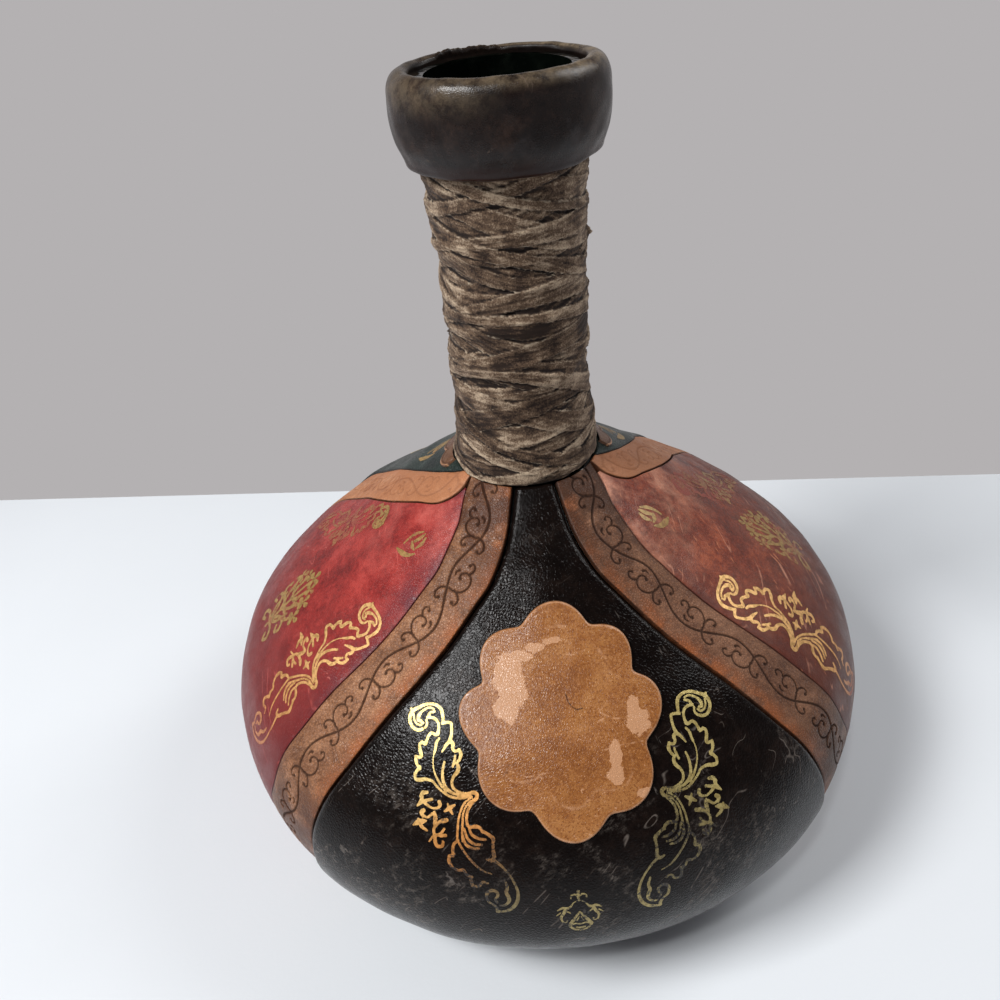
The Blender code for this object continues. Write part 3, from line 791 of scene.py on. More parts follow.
class Stencil:
    """Flat grid that strokes are drawn on. Each cell keeps its depth inside the nearest stroke's edge."""

    FAR = -9.0  # depth of a cell that no stroke is near

    def __init__(self, low: tuple[float, float], high: tuple[float, float], cell: float,
                 reach: float = 0.5) -> None:
        """Clears a grid between two corners; depths are kept out to a reach beyond the strokes.

        Args:
            low: Least corner.
            high: Greatest corner.
            cell: Step of the grid.
            reach: Depth at which the ground is cut off.
        """
        self.low, self.cell, self.reach = np.array(low, float), cell, reach
        counts = np.ceil((np.array(high) - low) / cell).astype(int) + 1
        self.depth = np.full(counts, self.FAR)

    def stroke(self, path: Sequence, width: float | Sequence[float]) -> None:
        """Draws a line of one or of a changing width.

        Args:
            path: Points of the line.
            width: Its width, or the width at points spread evenly along it.
        """
        path = np.array(path, float)
        along = lengths(path)
        if along[-1] == 0.0:
            dots, half = path[:1], np.full(1, np.max(width) / 2)
        else:
            places = np.linspace(0.0, along[-1], max(int(along[-1] / self.cell * 1.6), 2))
            dots = np.stack([np.interp(places, along, column) for column in path.T], axis=1)
            widths = np.atleast_1d(np.array(width, float))
            half = np.interp(places / along[-1], np.linspace(0, 1, len(widths)), widths) / 2
        spread = int(math.ceil((half.max() + self.reach) / self.cell))
        middle = np.rint((dots - self.low) / self.cell).astype(int)
        for step in np.ndindex(2 * spread + 1, 2 * spread + 1):
            cells = middle + np.array(step) - spread
            inside = ((cells >= 0) & (cells < self.depth.shape)).all(axis=1)
            spots = cells[inside]
            gaps = np.linalg.norm(self.low + spots * self.cell - dots[inside], axis=1)
            np.maximum.at(self.depth, (spots[:, 0], spots[:, 1]), half[inside] - gaps)

    def read(self, first: Array, second: Array) -> Array:
        """Depths at points, between the cells.

        Args:
            first: Places on the first axis.
            second: Places on the second axis.

        Returns:
            Depths inside the strokes.
        """
        place = (np.stack([first, second], axis=-1) - self.low) / self.cell
        place = np.clip(place, 0.0, np.array(self.depth.shape) - 1.001)
        cell = place.astype(int)
        share = place - cell
        total = 0.0
        for step in np.ndindex(2, 2):
            weight = np.prod(np.where(np.array(step) == 1, share, 1 - share), axis=-1)
            total = total + weight * self.depth[cell[..., 0] + step[0], cell[..., 1] + step[1]]
        return total


def arc(points: Sequence[tuple[float, float]], steps: int = 12) -> Array:
    """Smooth line through points.

    Args:
        points: Corner points that the curve passes.
        steps: Points of the curve between two corners.

    Returns:
        Points of the curve.
    """
    rough = np.array(points, float)
    knots = lengths(rough)
    return through(knots, rough, np.linspace(0.0, knots[-1], steps * len(points)))


def spiral(centre: tuple[float, float], start: float, sweep: float, outer: float, inner: float) -> Array:
    """Spiral line.

    Args:
        centre: Its centre.
        start: Angle of its outer end, in degrees.
        sweep: Angle that it turns through to its inner end.
        outer: Radius at the outer end.
        inner: Radius at the inner end.

    Returns:
        Points from the outer end to the inner one.
    """
    share = np.linspace(0.0, 1.0, 48)
    angle = np.radians(start + sweep * share)
    radius = outer + (inner - outer) * share**0.8
    return np.stack([centre[0] + radius * np.cos(angle), centre[1] + radius * np.sin(angle)], axis=1)


@dataclass(frozen=True)
class VineRoll:
    """Running vine pressed with a hot roll: a winding stem with a curled tendril in each bend."""

    bend: float = 16.0
    swing: float = 2.9
    stem_width: float = 0.66
    tendril_width: float = 0.52
    berry: float = 1.05
    cell: float = 0.12

    def drawn(self, length: float) -> Stencil:
        """The vine along a length; its first axis runs along the band and its second across it.

        Args:
            length: Length of the band.

        Returns:
            The drawn vine.
        """
        stencil = Stencil((-self.bend, -7.0), (length + self.bend, 7.0), self.cell, reach=0.7)
        along = np.arange(-self.bend, length + self.bend, 0.2)
        winding = self.swing * np.sin(math.pi * along / self.bend)
        stencil.stroke(np.stack([along, winding], axis=1), self.stem_width)
        for index in range(-1, int(length / self.bend) + 1):
            side = 1 if index % 2 == 0 else -1
            for path, width in self.tendrils():
                stencil.stroke(path * (1, side) + (index * self.bend, 0.0), width)
        return stencil

    def tendrils(self) -> list[tuple[Array, float | tuple]]:
        """Strokes of one bend, whose stem swings to the positive side, with their widths.

        Returns:
            Strokes with their widths.
        """
        thin, thick = self.tendril_width, self.stem_width
        curl = spiral((9.2, -1.0), 25.0, -310.0, 4.4, 0.7)
        strokes = [
            (curl, (thick, thin, thin, thin)),
            (curl[-1:], self.berry),
            (arc([(7.3, -2.3), (6.3, -3.1), (5.1, -3.0), (4.5, -2.1), (5.1, -1.4)]), (thick, thin, thin)),
            (np.array([(5.2, -1.5)]), self.berry * 0.8),
            (arc([(8.9, 1.4), (7.9, 1.5), (7.3, 0.9)]), (thin * 0.7, thin, self.berry * 0.8)),
            (arc([(13.4, 1.5), (14.6, 3.0), (16.3, 3.4), (17.4, 2.5), (17.0, 1.6)]), (thick, thin, thin)),
            (np.array([(16.9, 1.7)]), self.berry * 0.9),
            (arc([(12.9, -0.9), (13.4, -2.6), (14.7, -3.7), (16.0, -3.4), (16.1, -2.4)]),
             (thick, thin, thin)),
            (np.array([(15.8, -2.5)]), self.berry * 0.9),
        ]
        return strokes


class Design(Enum):
    """Traditional binders' stamps in gold."""

    ACANTHUS = "acanthus"
    FLEURON = "fleuron"
    SPRIG = "sprig"
    BOUQUET = "bouquet"


def mirrored(path: Sequence[tuple[float, float]]) -> list[tuple[float, float]]:
    """The same line on the other side of the middle."""
    return [(-x, y) for x, y in path]


def floret(x: float, y: float, size: float, turned: float = 0.0) -> list[tuple[Array, float]]:
    """Strokes of a small four-petalled flower.

    Args:
        x: Place across.
        y: Place up.
        size: Size of the flower.
        turned: Turn in degrees.

    Returns:
        Its strokes with their widths.
    """
    strokes = []
    for petal in range(4):
        angle = math.radians(90.0 * petal + turned)
        heading = np.array([math.cos(angle), math.sin(angle)])
        petal_line = np.array([(x, y) + 0.35 * size * heading, (x, y) + 1.25 * size * heading])
        strokes.append((petal_line, (0.5 * size, 1.15 * size)))
    return strokes


def acanthus(line: float) -> list[tuple[Array, float | tuple]]:
    """Strokes of a two-leaved acanthus with a volute at each end and flowers beside its knot, the origin.

    Args:
        line: Width of its main lines.

    Returns:
        Each stroke's points and its width or widths.
    """
    thin, bold = line * 0.78, line * 1.3
    head = [
        ([(-4.2, 18.7), (-5.1, 20.3), (-5.5, 21.9), (-4.8, 23.5), (-3.4, 24.5), (-1.8, 25.0), (0.2, 25.2),
          (1.6, 25.3), (2.8, 24.8), (3.7, 23.6), (3.8, 22.2), (3.1, 21.0), (1.9, 20.4), (0.6, 20.3),
          (-0.3, 20.8), (-0.6, 21.6)], (line, bold, line, line, bold, bold, line, thin)),
        ([(1.5, 25.2), (1.9, 25.9)], (bold, thin)),
        ([(1.9, 24.4), (2.4, 23.3), (2.3, 22.2), (1.5, 21.4), (0.5, 21.5)], thin),
        ([(-0.2, 23.8), (0.9, 23.4), (1.4, 22.6), (0.7, 22.1)], (thin, bold, bold, thin)),
        ([(-2.4, 18.1), (-3.1, 19.4), (-2.9, 20.6), (-2.1, 21.5), (-1.2, 22.0)], line),
        ([(-1.2, 22.0), (-2.4, 22.5), (-3.7, 22.3)], (thin, line, thin)),
        ([(-3.8, 22.9), (-2.8, 23.8), (-1.0, 24.0), (0.2, 23.9)], thin),
    ]
    upper_leaf = [
        ([(-4.0, 18.8), (-5.0, 18.4), (-6.0, 17.7), (-5.6, 16.7), (-4.6, 15.3), (-3.5, 14.3)],
         (line, line, line, line, bold)),
        ([(-3.5, 14.2), (-2.2, 14.0), (-0.2, 13.2)], (bold, line, thin * 0.6)),
        ([(-3.5, 14.1), (-3.7, 13.2), (-3.0, 12.3), (-3.2, 11.5), (-4.3, 11.2)],
         (bold, bold, line, line, thin)),
        ([(-4.3, 11.3), (-4.0, 10.1), (-3.0, 9.3), (-2.0, 9.0), (-1.8, 8.1), (-1.0, 7.3), (0.6, 6.9)],
         (line, bold, line, line, bold, bold, line)),
        ([(-2.6, 10.6), (-1.6, 9.6), (-0.6, 8.9)], (thin, line, thin)),
        ([(0.6, 6.9), (1.7, 6.1), (2.2, 4.9), (1.8, 3.5), (0.6, 2.1), (-1.2, 1.1)], line),
        ([(-2.4, 18.1), (-1.5, 17.3), (-0.9, 17.5), (-0.2, 18.3), (0.8, 18.2), (1.9, 17.5), (2.7, 17.1),
          (3.2, 17.8)], (line, bold, line, line, line, line, bold, line)),
        ([(3.2, 17.8), (4.1, 17.7), (4.7, 16.8), (5.2, 15.3), (5.8, 15.2), (6.7, 16.0)],
         (line, line, bold, bold, line, thin)),
        ([(6.6, 15.9), (7.2, 15.0), (7.4, 13.9), (7.1, 13.2), (8.2, 13.0), (9.2, 12.6)],
         (line, bold, line, bold, line, line)),
        ([(9.1, 12.7), (9.6, 11.6), (8.8, 10.9), (7.2, 10.2), (5.9, 8.9), (5.6, 7.4), (5.1, 5.8), (4.3, 4.0),
          (3.0, 2.6), (1.4, 1.5), (-0.2, 0.8)], (line, bold, line, thin, thin, line, line, line)),
        ([(-1.3, 16.2), (-0.2, 15.8), (0.9, 14.7), (2.3, 13.6)], (thin, line, line, thin * 0.5)),
        ([(2.3, 13.6), (3.4, 12.2), (4.2, 10.4), (4.5, 7.4), (4.3, 5.2)],
         (thin * 0.5, thin * 0.6, thin, line)),
        ([(0.6, 10.9), (2.0, 9.7), (3.2, 8.0), (3.8, 6.0), (3.2, 4.2), (2.0, 2.6), (0.6, 1.4)],
         (thin, line, bold, line, thin)),
    ]
    knot = [
        ([(0.0, 1.5), (-1.3, 1.1), (-1.8, 0.3), (-1.3, -0.4), (0.0, -0.6)], (line, bold, bold, bold, line)),
        ([(-0.4, 0.5), (1.0, 0.5), (2.4, 0.2), (4.0, -0.7), (5.6, -2.0), (7.4, -4.0), (8.8, -5.6)], thin),
        ([(0.0, -0.2), (1.8, -0.4), (3.6, -1.4), (5.2, -3.2), (6.8, -5.2), (7.6, -6.4)], thin),
        ([(-0.8, -0.5), (1.0, -0.9), (2.6, -1.7), (3.8, -3.0), (4.4, -4.2)], line),
    ]
    lower_leaf = [
        ([(4.4, -4.2), (4.0, -5.0), (2.9, -5.6), (2.2, -6.6), (2.3, -7.6)], (line, line, bold, line, line)),
        ([(2.2, -7.4), (1.5, -9.0), (1.2, -10.4), (2.0, -11.4), (2.9, -12.6), (3.7, -13.9), (4.6, -14.1),
          (5.3, -13.1)], (line, line, bold, line, line, bold, bold, thin)),
        ([(4.3, -4.6), (4.8, -6.4), (4.0, -8.2), (2.8, -9.4)], (thin, line, thin)),
        ([(5.6, -4.4), (6.2, -6.6), (5.6, -8.6), (4.2, -9.8)], (thin, line, thin)),
        ([(6.8, -5.4), (7.4, -7.4), (6.6, -9.0), (5.4, -10.0)], (thin, line, thin)),
        ([(8.6, -5.6), (8.8, -8.4), (8.6, -12.0), (8.0, -14.6), (6.8, -16.6)],
         (thin, thin, thin, thin * 0.5)),
        ([(8.4, -5.6), (9.9, -5.7), (11.0, -6.6), (11.6, -7.6), (12.7, -7.2)],
         (thin, line, line, bold, line)),
        ([(12.7, -7.2), (13.6, -8.2), (13.8, -9.8), (13.0, -11.2), (11.9, -11.8), (12.0, -13.2),
          (11.4, -14.2)], (line, bold, line, line, line, bold)),
        ([(11.4, -14.0), (12.2, -15.0), (12.7, -16.3), (11.4, -17.1), (10.0, -16.8), (9.2, -17.8)],
         (line, bold, line, thin)),
    ]
    tail = [
        ([(4.2, -14.2), (3.7, -16.4), (3.6, -19.0), (4.1, -21.8), (5.2, -24.2), (6.8, -25.8), (8.8, -26.7),
          (10.8, -26.8), (12.4, -26.2), (13.5, -25.5)], (line, thin, thin, line, bold, bold, line)),
        ([(13.4, -25.6), (12.7, -24.6), (12.5, -23.2), (12.8, -21.8), (12.0, -20.3), (10.7, -19.6),
          (9.5, -20.1), (9.2, -21.2), (9.9, -22.0), (10.9, -22.3), (11.3, -23.2)],
         (bold, line, line, bold, line, line)),
        ([(5.4, -19.6), (6.2, -21.5), (7.5, -22.5), (7.8, -23.5), (8.6, -24.7), (10.2, -25.1), (11.4, -24.5)],
         (thin, line, bold, bold, line, thin)),
    ]
    flowers = [
        ([(8.6, 7.5), (9.7, 8.0), (10.7, 7.7)], (line, bold * 1.1, line)),
        ([(10.4, 7.6), (11.1, 6.7), (12.9, 6.3)], (bold, bold * 1.2, thin * 0.6)),
        ([(8.5, 5.6), (9.6, 6.0), (10.8, 6.3)], (line, line, bold)),
        ([(10.8, 6.4), (10.3, 5.0), (9.6, 3.9), (8.4, 3.2), (7.4, 3.4), (7.2, 4.1)],
         (bold, line, thin, thin, line, bold)),
        ([(11.9, 4.6), (12.7, 4.5), (12.9, 3.6)], (bold, bold * 1.2, line)),
        ([(12.8, 3.8), (12.0, 2.8), (10.4, 2.8)], (thin, thin, line)),
        ([(9.7, 2.8), (10.3, 1.6), (11.3, 0.6)], (line, bold * 1.2, line)),
        ([(12.8, 2.4), (14.2, 2.9), (15.2, 3.2), (16.4, 3.3)], (thin, bold * 1.4, bold * 1.2, thin * 0.6)),
        ([(14.4, 3.6), (14.6, 2.0), (13.9, 0.5)], (line, bold, thin)),
        ([(4.3, 1.4), (5.7, 1.5), (7.3, 1.6)], (line * 0.7, bold * 1.2, line * 0.7)),
        ([(5.6, 2.6), (5.9, 1.5), (6.0, 0.0)], (line * 0.6, bold, line * 0.6)),
        ([(8.1, -0.3), (9.1, 0.1)], (bold, bold * 1.2)),
        ([(9.2, 0.2), (10.8, 0.3), (12.2, -0.3), (12.9, -1.6), (13.6, -2.8), (13.7, -3.8), (12.6, -4.4),
          (11.9, -3.8)], (line, bold, line, line, bold, bold, line, line)),
        ([(9.8, -1.6), (11.4, -2.0), (13.0, -1.5), (14.9, -1.8)], (thin, line, line, thin * 0.6)),
        ([(10.4, -3.0), (11.6, -2.2)], (line, bold)),
    ]
    strokes = head + upper_leaf + knot + lower_leaf + tail + flowers
    return [(arc(path), width) for path, width in strokes]


def fleuron(line: float) -> list[tuple[Array, float | tuple]]:
    """Strokes of a small fleuron: a split bud between two curled leaves, under a crown.

    Args:
        line: Width of its main lines.

    Returns:
        Each stroke's points and its width or widths.
    """
    strokes = [
        (arc([(0.0, 8.3), (-0.1, 7.0), (0.0, 5.2)]), (line * 1.2, line * 1.5, line * 0.5)),
        (arc([(-0.9, -4.1), (0.0, -4.3), (0.9, -4.1)]), line * 1.3),
    ]
    halves = (
        ([(-0.3, 6.9), (-1.0, 7.3), (-1.8, 6.9), (-1.9, 6.1)], (1.0, 0.9, 0.8, 0.6)),
        ([(-0.4, 5.4), (-1.2, 4.9), (-2.0, 4.0)], (0.4, 0.6, 0.4)),
        ([(-1.7, 4.1), (-2.8, 3.1), (-4.0, 3.3), (-5.3, 2.6)], (0.6, 1.5, 1.4, 0.6)),
        ([(-3.3, 3.0), (-3.9, 1.5), (-4.6, 0.1), (-4.3, -1.6)], (1.6, 1.5, 1.2, 0.7)),
        ([(-4.7, 1.7), (-5.6, 0.9)], (0.8, 0.5)),
        ([(-4.3, -1.5), (-3.5, -1.9), (-3.2, -1.1)], 0.7),
        ([(-3.3, 2.3), (-2.3, 1.4)], (1.0, 0.6)),
        ([(0.0, 1.7), (-0.9, 0.1), (-1.9, -1.5), (-2.8, -2.9)], (0.7, 1.4, 1.7, 1.3)),
        ([(0.0, -2.9), (-1.3, -2.5), (-2.7, -3.1)], (0.8, 1.0, 1.2)),
        ([(-2.7, -3.4), (-1.5, -4.8), (0.0, -5.4)], (1.1, 1.4, 1.2)),
        ([(-0.2, 0.2), (-0.8, -1.4)], (0.4, 0.8)),
    )
    for path, widths in halves:
        for side in (path, mirrored(path)):
            strokes.append((arc(side), tuple(line * width for width in np.atleast_1d(widths))))
    return strokes


def sprig(line: float) -> list[tuple[Array, float | tuple]]:
    """Strokes of a plump small leaf with a notch, over a curved bar.

    Args:
        line: Width of a line.

    Returns:
        Its strokes with their widths.
    """
    return [
        (arc([(0.6, 5.4), (-1.5, 3.2), (-2.6, 0.6), (-3.2, -1.6)]), (line, line * 2.2, line * 1.6, line)),
        (arc([(1.8, 5.0), (1.2, 3.0), (0.2, 1.2)]), (line * 1.4, line * 2.6, line * 1.8)),
        (arc([(3.1, 4.2), (3.3, 2.0), (2.4, -0.2)]), (line * 1.2, line * 2.6, line)),
        (arc([(-0.6, 0.6), (0.8, -0.6), (2.2, -1.0)]), (line * 1.4, line * 2.4, line)),
        (arc([(-4.6, -4.4), (-1.6, -4.3), (1.2, -3.6), (3.2, -2.0)]), (line, line * 3.2, line * 2.6, line)),
    ]


def bouquet(line: float) -> list[tuple[Array, float | tuple]]:
    """Strokes of a bouquet: crossed stems, with flowers at their ends, over a curled foot.

    Args:
        line: Width of a line.

    Returns:
        Its strokes with their widths.
    """
    strokes = [
        (arc([(0.0, -11.0), (0.4, -4.0), (0.0, 11.0)]), (line, line, line * 0.7)),
        (np.array([(-4.6, -1.0), (4.6, -1.0)]), line * 1.2),
    ]
    for path in (
        [(0.0, -8.0), (-2.6, -4.0), (-6.4, -1.6), (-8.6, 1.8)], [(0.0, -3.0), (-3.4, 1.0), (-6.0, 6.4)],
        [(0.0, 2.0), (-2.2, 5.0), (-3.0, 9.6)],
        [(0.0, -9.0), (-3.6, -8.6), (-6.2, -10.6), (-5.0, -12.6), (-3.4, -11.4)],
        [(-4.6, -1.0), (-3.4, -5.4), (0.0, -8.6)], [(-6.0, -2.0), (-8.4, -4.2), (-7.4, -6.2), (-5.8, -5.2)],
    ):
        strokes += [(arc(path), line), (arc(mirrored(path)), line)]
    for x, y, size in (
        (0.0, 12.4, 1.7), (3.2, 10.6, 1.3), (6.4, 7.4, 1.6), (9.2, 2.6, 1.6), (3.2, 4.0, 1.2),
        (5.4, -1.2, 1.0),
    ):
        strokes += floret(x, y, size, 20.0)
        if x:
            strokes += floret(-x, y, size, 70.0)
    return strokes


DESIGNS: dict[Design, Callable[[float], list]] = {
    Design.ACANTHUS: acanthus, Design.FLEURON: fleuron, Design.SPRIG: sprig, Design.BOUQUET: bouquet,
}


# Skin


class Edge(Enum):
    """How a skin piece ends at a seam: radius and depth of its rounding, and half the gap."""

    CUSHIONED = (2.0, 1.9, 0.30)
    CUT = (0.6, 0.6, 0.28)
    SKIVED = (2.2, 0.38, 0.06)

    @property
    def radius(self) -> float:
        """Radius of the rounding across the surface."""
        return self.value[0]

    @property
    def depth(self) -> float:
        """Depth of the edge below the surface."""
        return self.value[1]

    @property
    def gap(self) -> float:
        """Half the gap of the seam."""
        return self.value[2]

    def drop(self, distance: Array) -> Array:
        """How far the surface falls at a distance in from the edge."""
        share = np.clip(1.0 - distance / self.radius, 0.0, 1.0)
        return self.depth * (1.0 - np.sqrt(1.0 - share**2))


class Seam(Enum):
    """The seams by column of the table."""

    FRONT_IN = 1
    FRONT_OUT = 2
    BACK_IN = 3
    BACK_OUT = 4

    def turn(self, down: Array, side: int) -> Array:
        """Turn of the seam at a distance down the skin, on one side.

        Args:
            down: Distances down the skin.
            side: 1 for the right half, -1 for the left.

        Returns:
            Turns from the front.
        """
        share = np.clip(np.asarray(down, float) / SKIN.length, 0.0, 1.0)
        degrees = through(SEAM_SHARES[:, 0], SEAM_SHARES[:, self.value], share)
        lean = SEAM_LEANS[self.value] * np.sin(math.pi * share**LEAN_BIAS_SHARE)
        return np.radians(side * degrees + lean)


@dataclass
class SkinPiece:
    """One leather piece of the skin, between two seams."""

    name: str
    slot: str
    finish: Leather
    left: Callable[[Array], Array]
    right: Callable[[Array], Array]
    left_edge: Edge
    right_edge: Edge
    pitch: float = 0.8
    proud: bool = False
    front_on_left: bool = True
    vine: tuple[float, float, int] | None = None
    faint: float = 1.0
    start: float = 0.0

    INSETS = (0.0, 0.12, 0.32, 0.6, 1.0, 1.5, 2.1)  # of the grid's lines beside an edge
    STEP = 0.5  # along the middle line that a vine is laid on
    NEAR = 60  # such steps searched on either side of a point

    def lift(self, down: Array, turn: Array, edges: bool = True) -> Array:
        """Height of the surface over the outline, with the panel's swell, dents and rounded edges.

        Args:
            down: Distances down the skin.
            turn: Turns from the front.
            edges: Whether the edges are rounded.

        Returns:
            Heights over the outline.
        """
        lift = DENT_DEPTH * DENTS.at(on_skin(down, turn))
        if self.proud:
            share = np.clip(down / SKIN.length, 0, 1)
            lift = lift + PANEL_PROUD * np.sin(math.pi * share**PROUD_BIAS_SHARE)
        if edges:
            radius = SKIN.at(down)[0]
            lift = lift - self.left_edge.drop((turn - self.left(down)) * radius - self.left_edge.gap)
            lift = lift - self.right_edge.drop((self.right(down) - turn) * radius - self.right_edge.gap)
        return lift

    def grid(self) -> tuple[Array, Array]:
        """Distances down and turns of the grid's points.

        Returns:
            Both as grids, with rows across the piece.
        """
        rows = np.arange(self.start, SKIN.length, self.pitch)
        rows = np.r_[rows, SKIN.length]
        radius = SKIN.at(rows)[0]
        left = self.left(rows) + self.left_edge.gap / radius
        right = self.right(rows) - self.right_edge.gap / radius
        width = (right - left) * radius
        count = max(int(width.max() / self.pitch), 8)
        insets = np.array(self.INSETS)
        squeeze = np.minimum(1.0, 0.3 * width / insets[-1])[:, None]
        near = insets * squeeze
        share = np.linspace(0.0, 1.0, count + 2)[1:-1]
        middle = near[:, -1:] + (width[:, None] - 2 * near[:, -1:]) * share
        offsets = np.hstack([near, middle, width[:, None] - near[:, ::-1]])
        return np.repeat(rows[:, None], offsets.shape[1], axis=1), left[:, None] + offsets / radius[:, None]

    def build(self) -> Piece:
        """Makes the piece in place of its CAD node.

        Returns:
            The piece.
        """
        down, turn = self.grid()
        radius = SKIN.at(down)[0]
        from_left = (turn - self.left(down)) * radius - self.left_edge.gap
        from_right = (self.right(down) - turn) * radius - self.right_edge.gap
        lift = self.lift(down, turn)
        tool = np.zeros_like(lift)
        if self.vine is not None:
            tool = self.tooled(down, turn)
            lift = lift - VINE_DEPTH * tool
        points = self.hemmed(on_skin(down, turn, lift), on_skin(down, turn, -SKIN_THICKNESS))
        front = from_left if self.front_on_left else from_right
        layers = {"edge": np.minimum(from_left, from_right), "front": front, "tool": tool, "down": down}
        layers = {layer: np.pad(values, 1, mode="edge") for layer, values in layers.items()}
        layers["edge"][:, [0, -1]] = 0.0
        rows, columns = layers["edge"].shape
        return add_piece(
            self.name + "_leather", points, grid_faces(rows, columns), self.finish.material(),
            [self.name], layers,
        )

    @staticmethod
    def hemmed(outer: Array, inner: Array) -> Array:
        """The outer grid with a wall down to the inner one on all four sides.

        Args:
            outer: Points of the surface.
            inner: Points beneath them.

        Returns:
            Points with one more row and column on each side.
        """
        rows, columns = outer.shape[:2]
        grid = np.empty((rows + 2, columns + 2, 3))
        grid[1:-1, 1:-1] = outer
        ring = np.pad(np.arange(rows), 1, mode="edge"), np.pad(np.arange(columns), 1, mode="edge")
        grid[0], grid[-1] = inner[0, ring[1]], inner[-1, ring[1]]
        grid[:, 0], grid[:, -1] = inner[ring[0], 0], inner[ring[0], -1]
        return grid

    def tooled(self, down: Array, turn: Array) -> Array:
        """How deep the vine is pressed at each point, from 0 to 1.

        Args:
            down: Distances down the skin.
            turn: Turns from the front.

        Returns:
            Share of the full depth.
        """
        offset, phase, side = self.vine
        rows = np.arange(0.0, SKIN.length, self.STEP)
        centre = on_skin(rows, (self.left(rows) + self.right(rows)) / 2)
        along = lengths(centre)
        heading = np.gradient(centre, axis=0)
        heading /= np.linalg.norm(heading, axis=1, keepdims=True)
        points = on_skin(down, turn)
        result_along, result_across = np.empty(down.shape), np.empty(down.shape)
        for row, line in enumerate(points):
            near = max(int(down[row, 0] / self.STEP) - self.NEAR, 0)
            part = slice(near, near + 2 * self.NEAR + 1)
            gaps = np.linalg.norm(line[:, None] - centre[None, part], axis=2)
            best = gaps.argmin(axis=1) + near
            step = line - centre[best]
            forward = np.einsum("ij,ij->i", step, heading[best])
            result_along[row] = along[best] + forward
            across = np.sqrt(np.maximum(np.einsum("ij,ij->i", step, step) - forward**2, 0.0))
            middle = (self.left(down[row]) + self.right(down[row])) / 2
            result_across[row] = np.where(turn[row] > middle, across, -across)
        depth = VINE.read(result_along - phase, side * (result_across - offset))
        return self.faint * rise(depth, -0.11, 0.12)


VINE_DEPTH = 0.30
VINE = VineRoll().drawn(230.0)


def seam(edge: Seam, side: int) -> Callable[[Array], Array]:
    """A seam on one side, as a function of the distance down the skin."""
    return lambda down: edge.turn(down, side)


def round_back(edge: Seam) -> Callable[[Array], Array]:
    """A seam on the left, measured on round the back."""
    return lambda down: edge.turn(down, -1) + TAU


def skin_pieces() -> list[SkinPiece]:
    """The eight pieces of the skin.

    Returns:
        Panels first, then the bands.
    """
    return [
        SkinPiece("front_panel", "black_leather", BLACK, seam(Seam.FRONT_IN, -1), seam(Seam.FRONT_IN, 1),
                  Edge.CUSHIONED, Edge.CUSHIONED, proud=True),
        SkinPiece("back_panel", "teal_leather", TEAL, seam(Seam.BACK_OUT, 1), round_back(Seam.BACK_OUT),
                  Edge.SKIVED, Edge.SKIVED, proud=True),
        SkinPiece("left_panel", "red_leather", RASPBERRY, seam(Seam.BACK_IN, -1), seam(Seam.FRONT_OUT, -1),
                  Edge.CUT, Edge.SKIVED, front_on_left=False, start=3.6),
        SkinPiece("right_panel", "rust_leather", RUST, seam(Seam.FRONT_OUT, 1), seam(Seam.BACK_IN, 1),
                  Edge.SKIVED, Edge.CUT, start=3.6),
        SkinPiece("band_front_left", "tan_leather", TAN_LEFT, seam(Seam.FRONT_OUT, -1),
                  seam(Seam.FRONT_IN, -1), Edge.SKIVED, Edge.CUT, pitch=0.27, front_on_left=False,
                  vine=(-1.0, 2.4, 1)),
        SkinPiece("band_front_right", "tan_leather", TAN_RIGHT, seam(Seam.FRONT_IN, 1),
                  seam(Seam.FRONT_OUT, 1), Edge.CUT, Edge.SKIVED, pitch=0.27, vine=(1.0, 10.0, -1)),
        SkinPiece("band_back_left", "tan_leather", TAN_BACK, seam(Seam.BACK_OUT, -1), seam(Seam.BACK_IN, -1),
                  Edge.SKIVED, Edge.CUT, pitch=0.4, vine=(0.0, 6.0, 1), faint=0.3),
        SkinPiece("band_back_right", "tan_leather", TAN_BACK, seam(Seam.BACK_IN, 1), seam(Seam.BACK_OUT, 1),
                  Edge.CUT, Edge.SKIVED, pitch=0.4, front_on_left=False, vine=(0.0, 6.0, -1), faint=0.3),
    ]


def named_pieces() -> dict[str, SkinPiece]:
    """The skin's pieces by name."""
    return {piece.name: piece for piece in skin_pieces()}


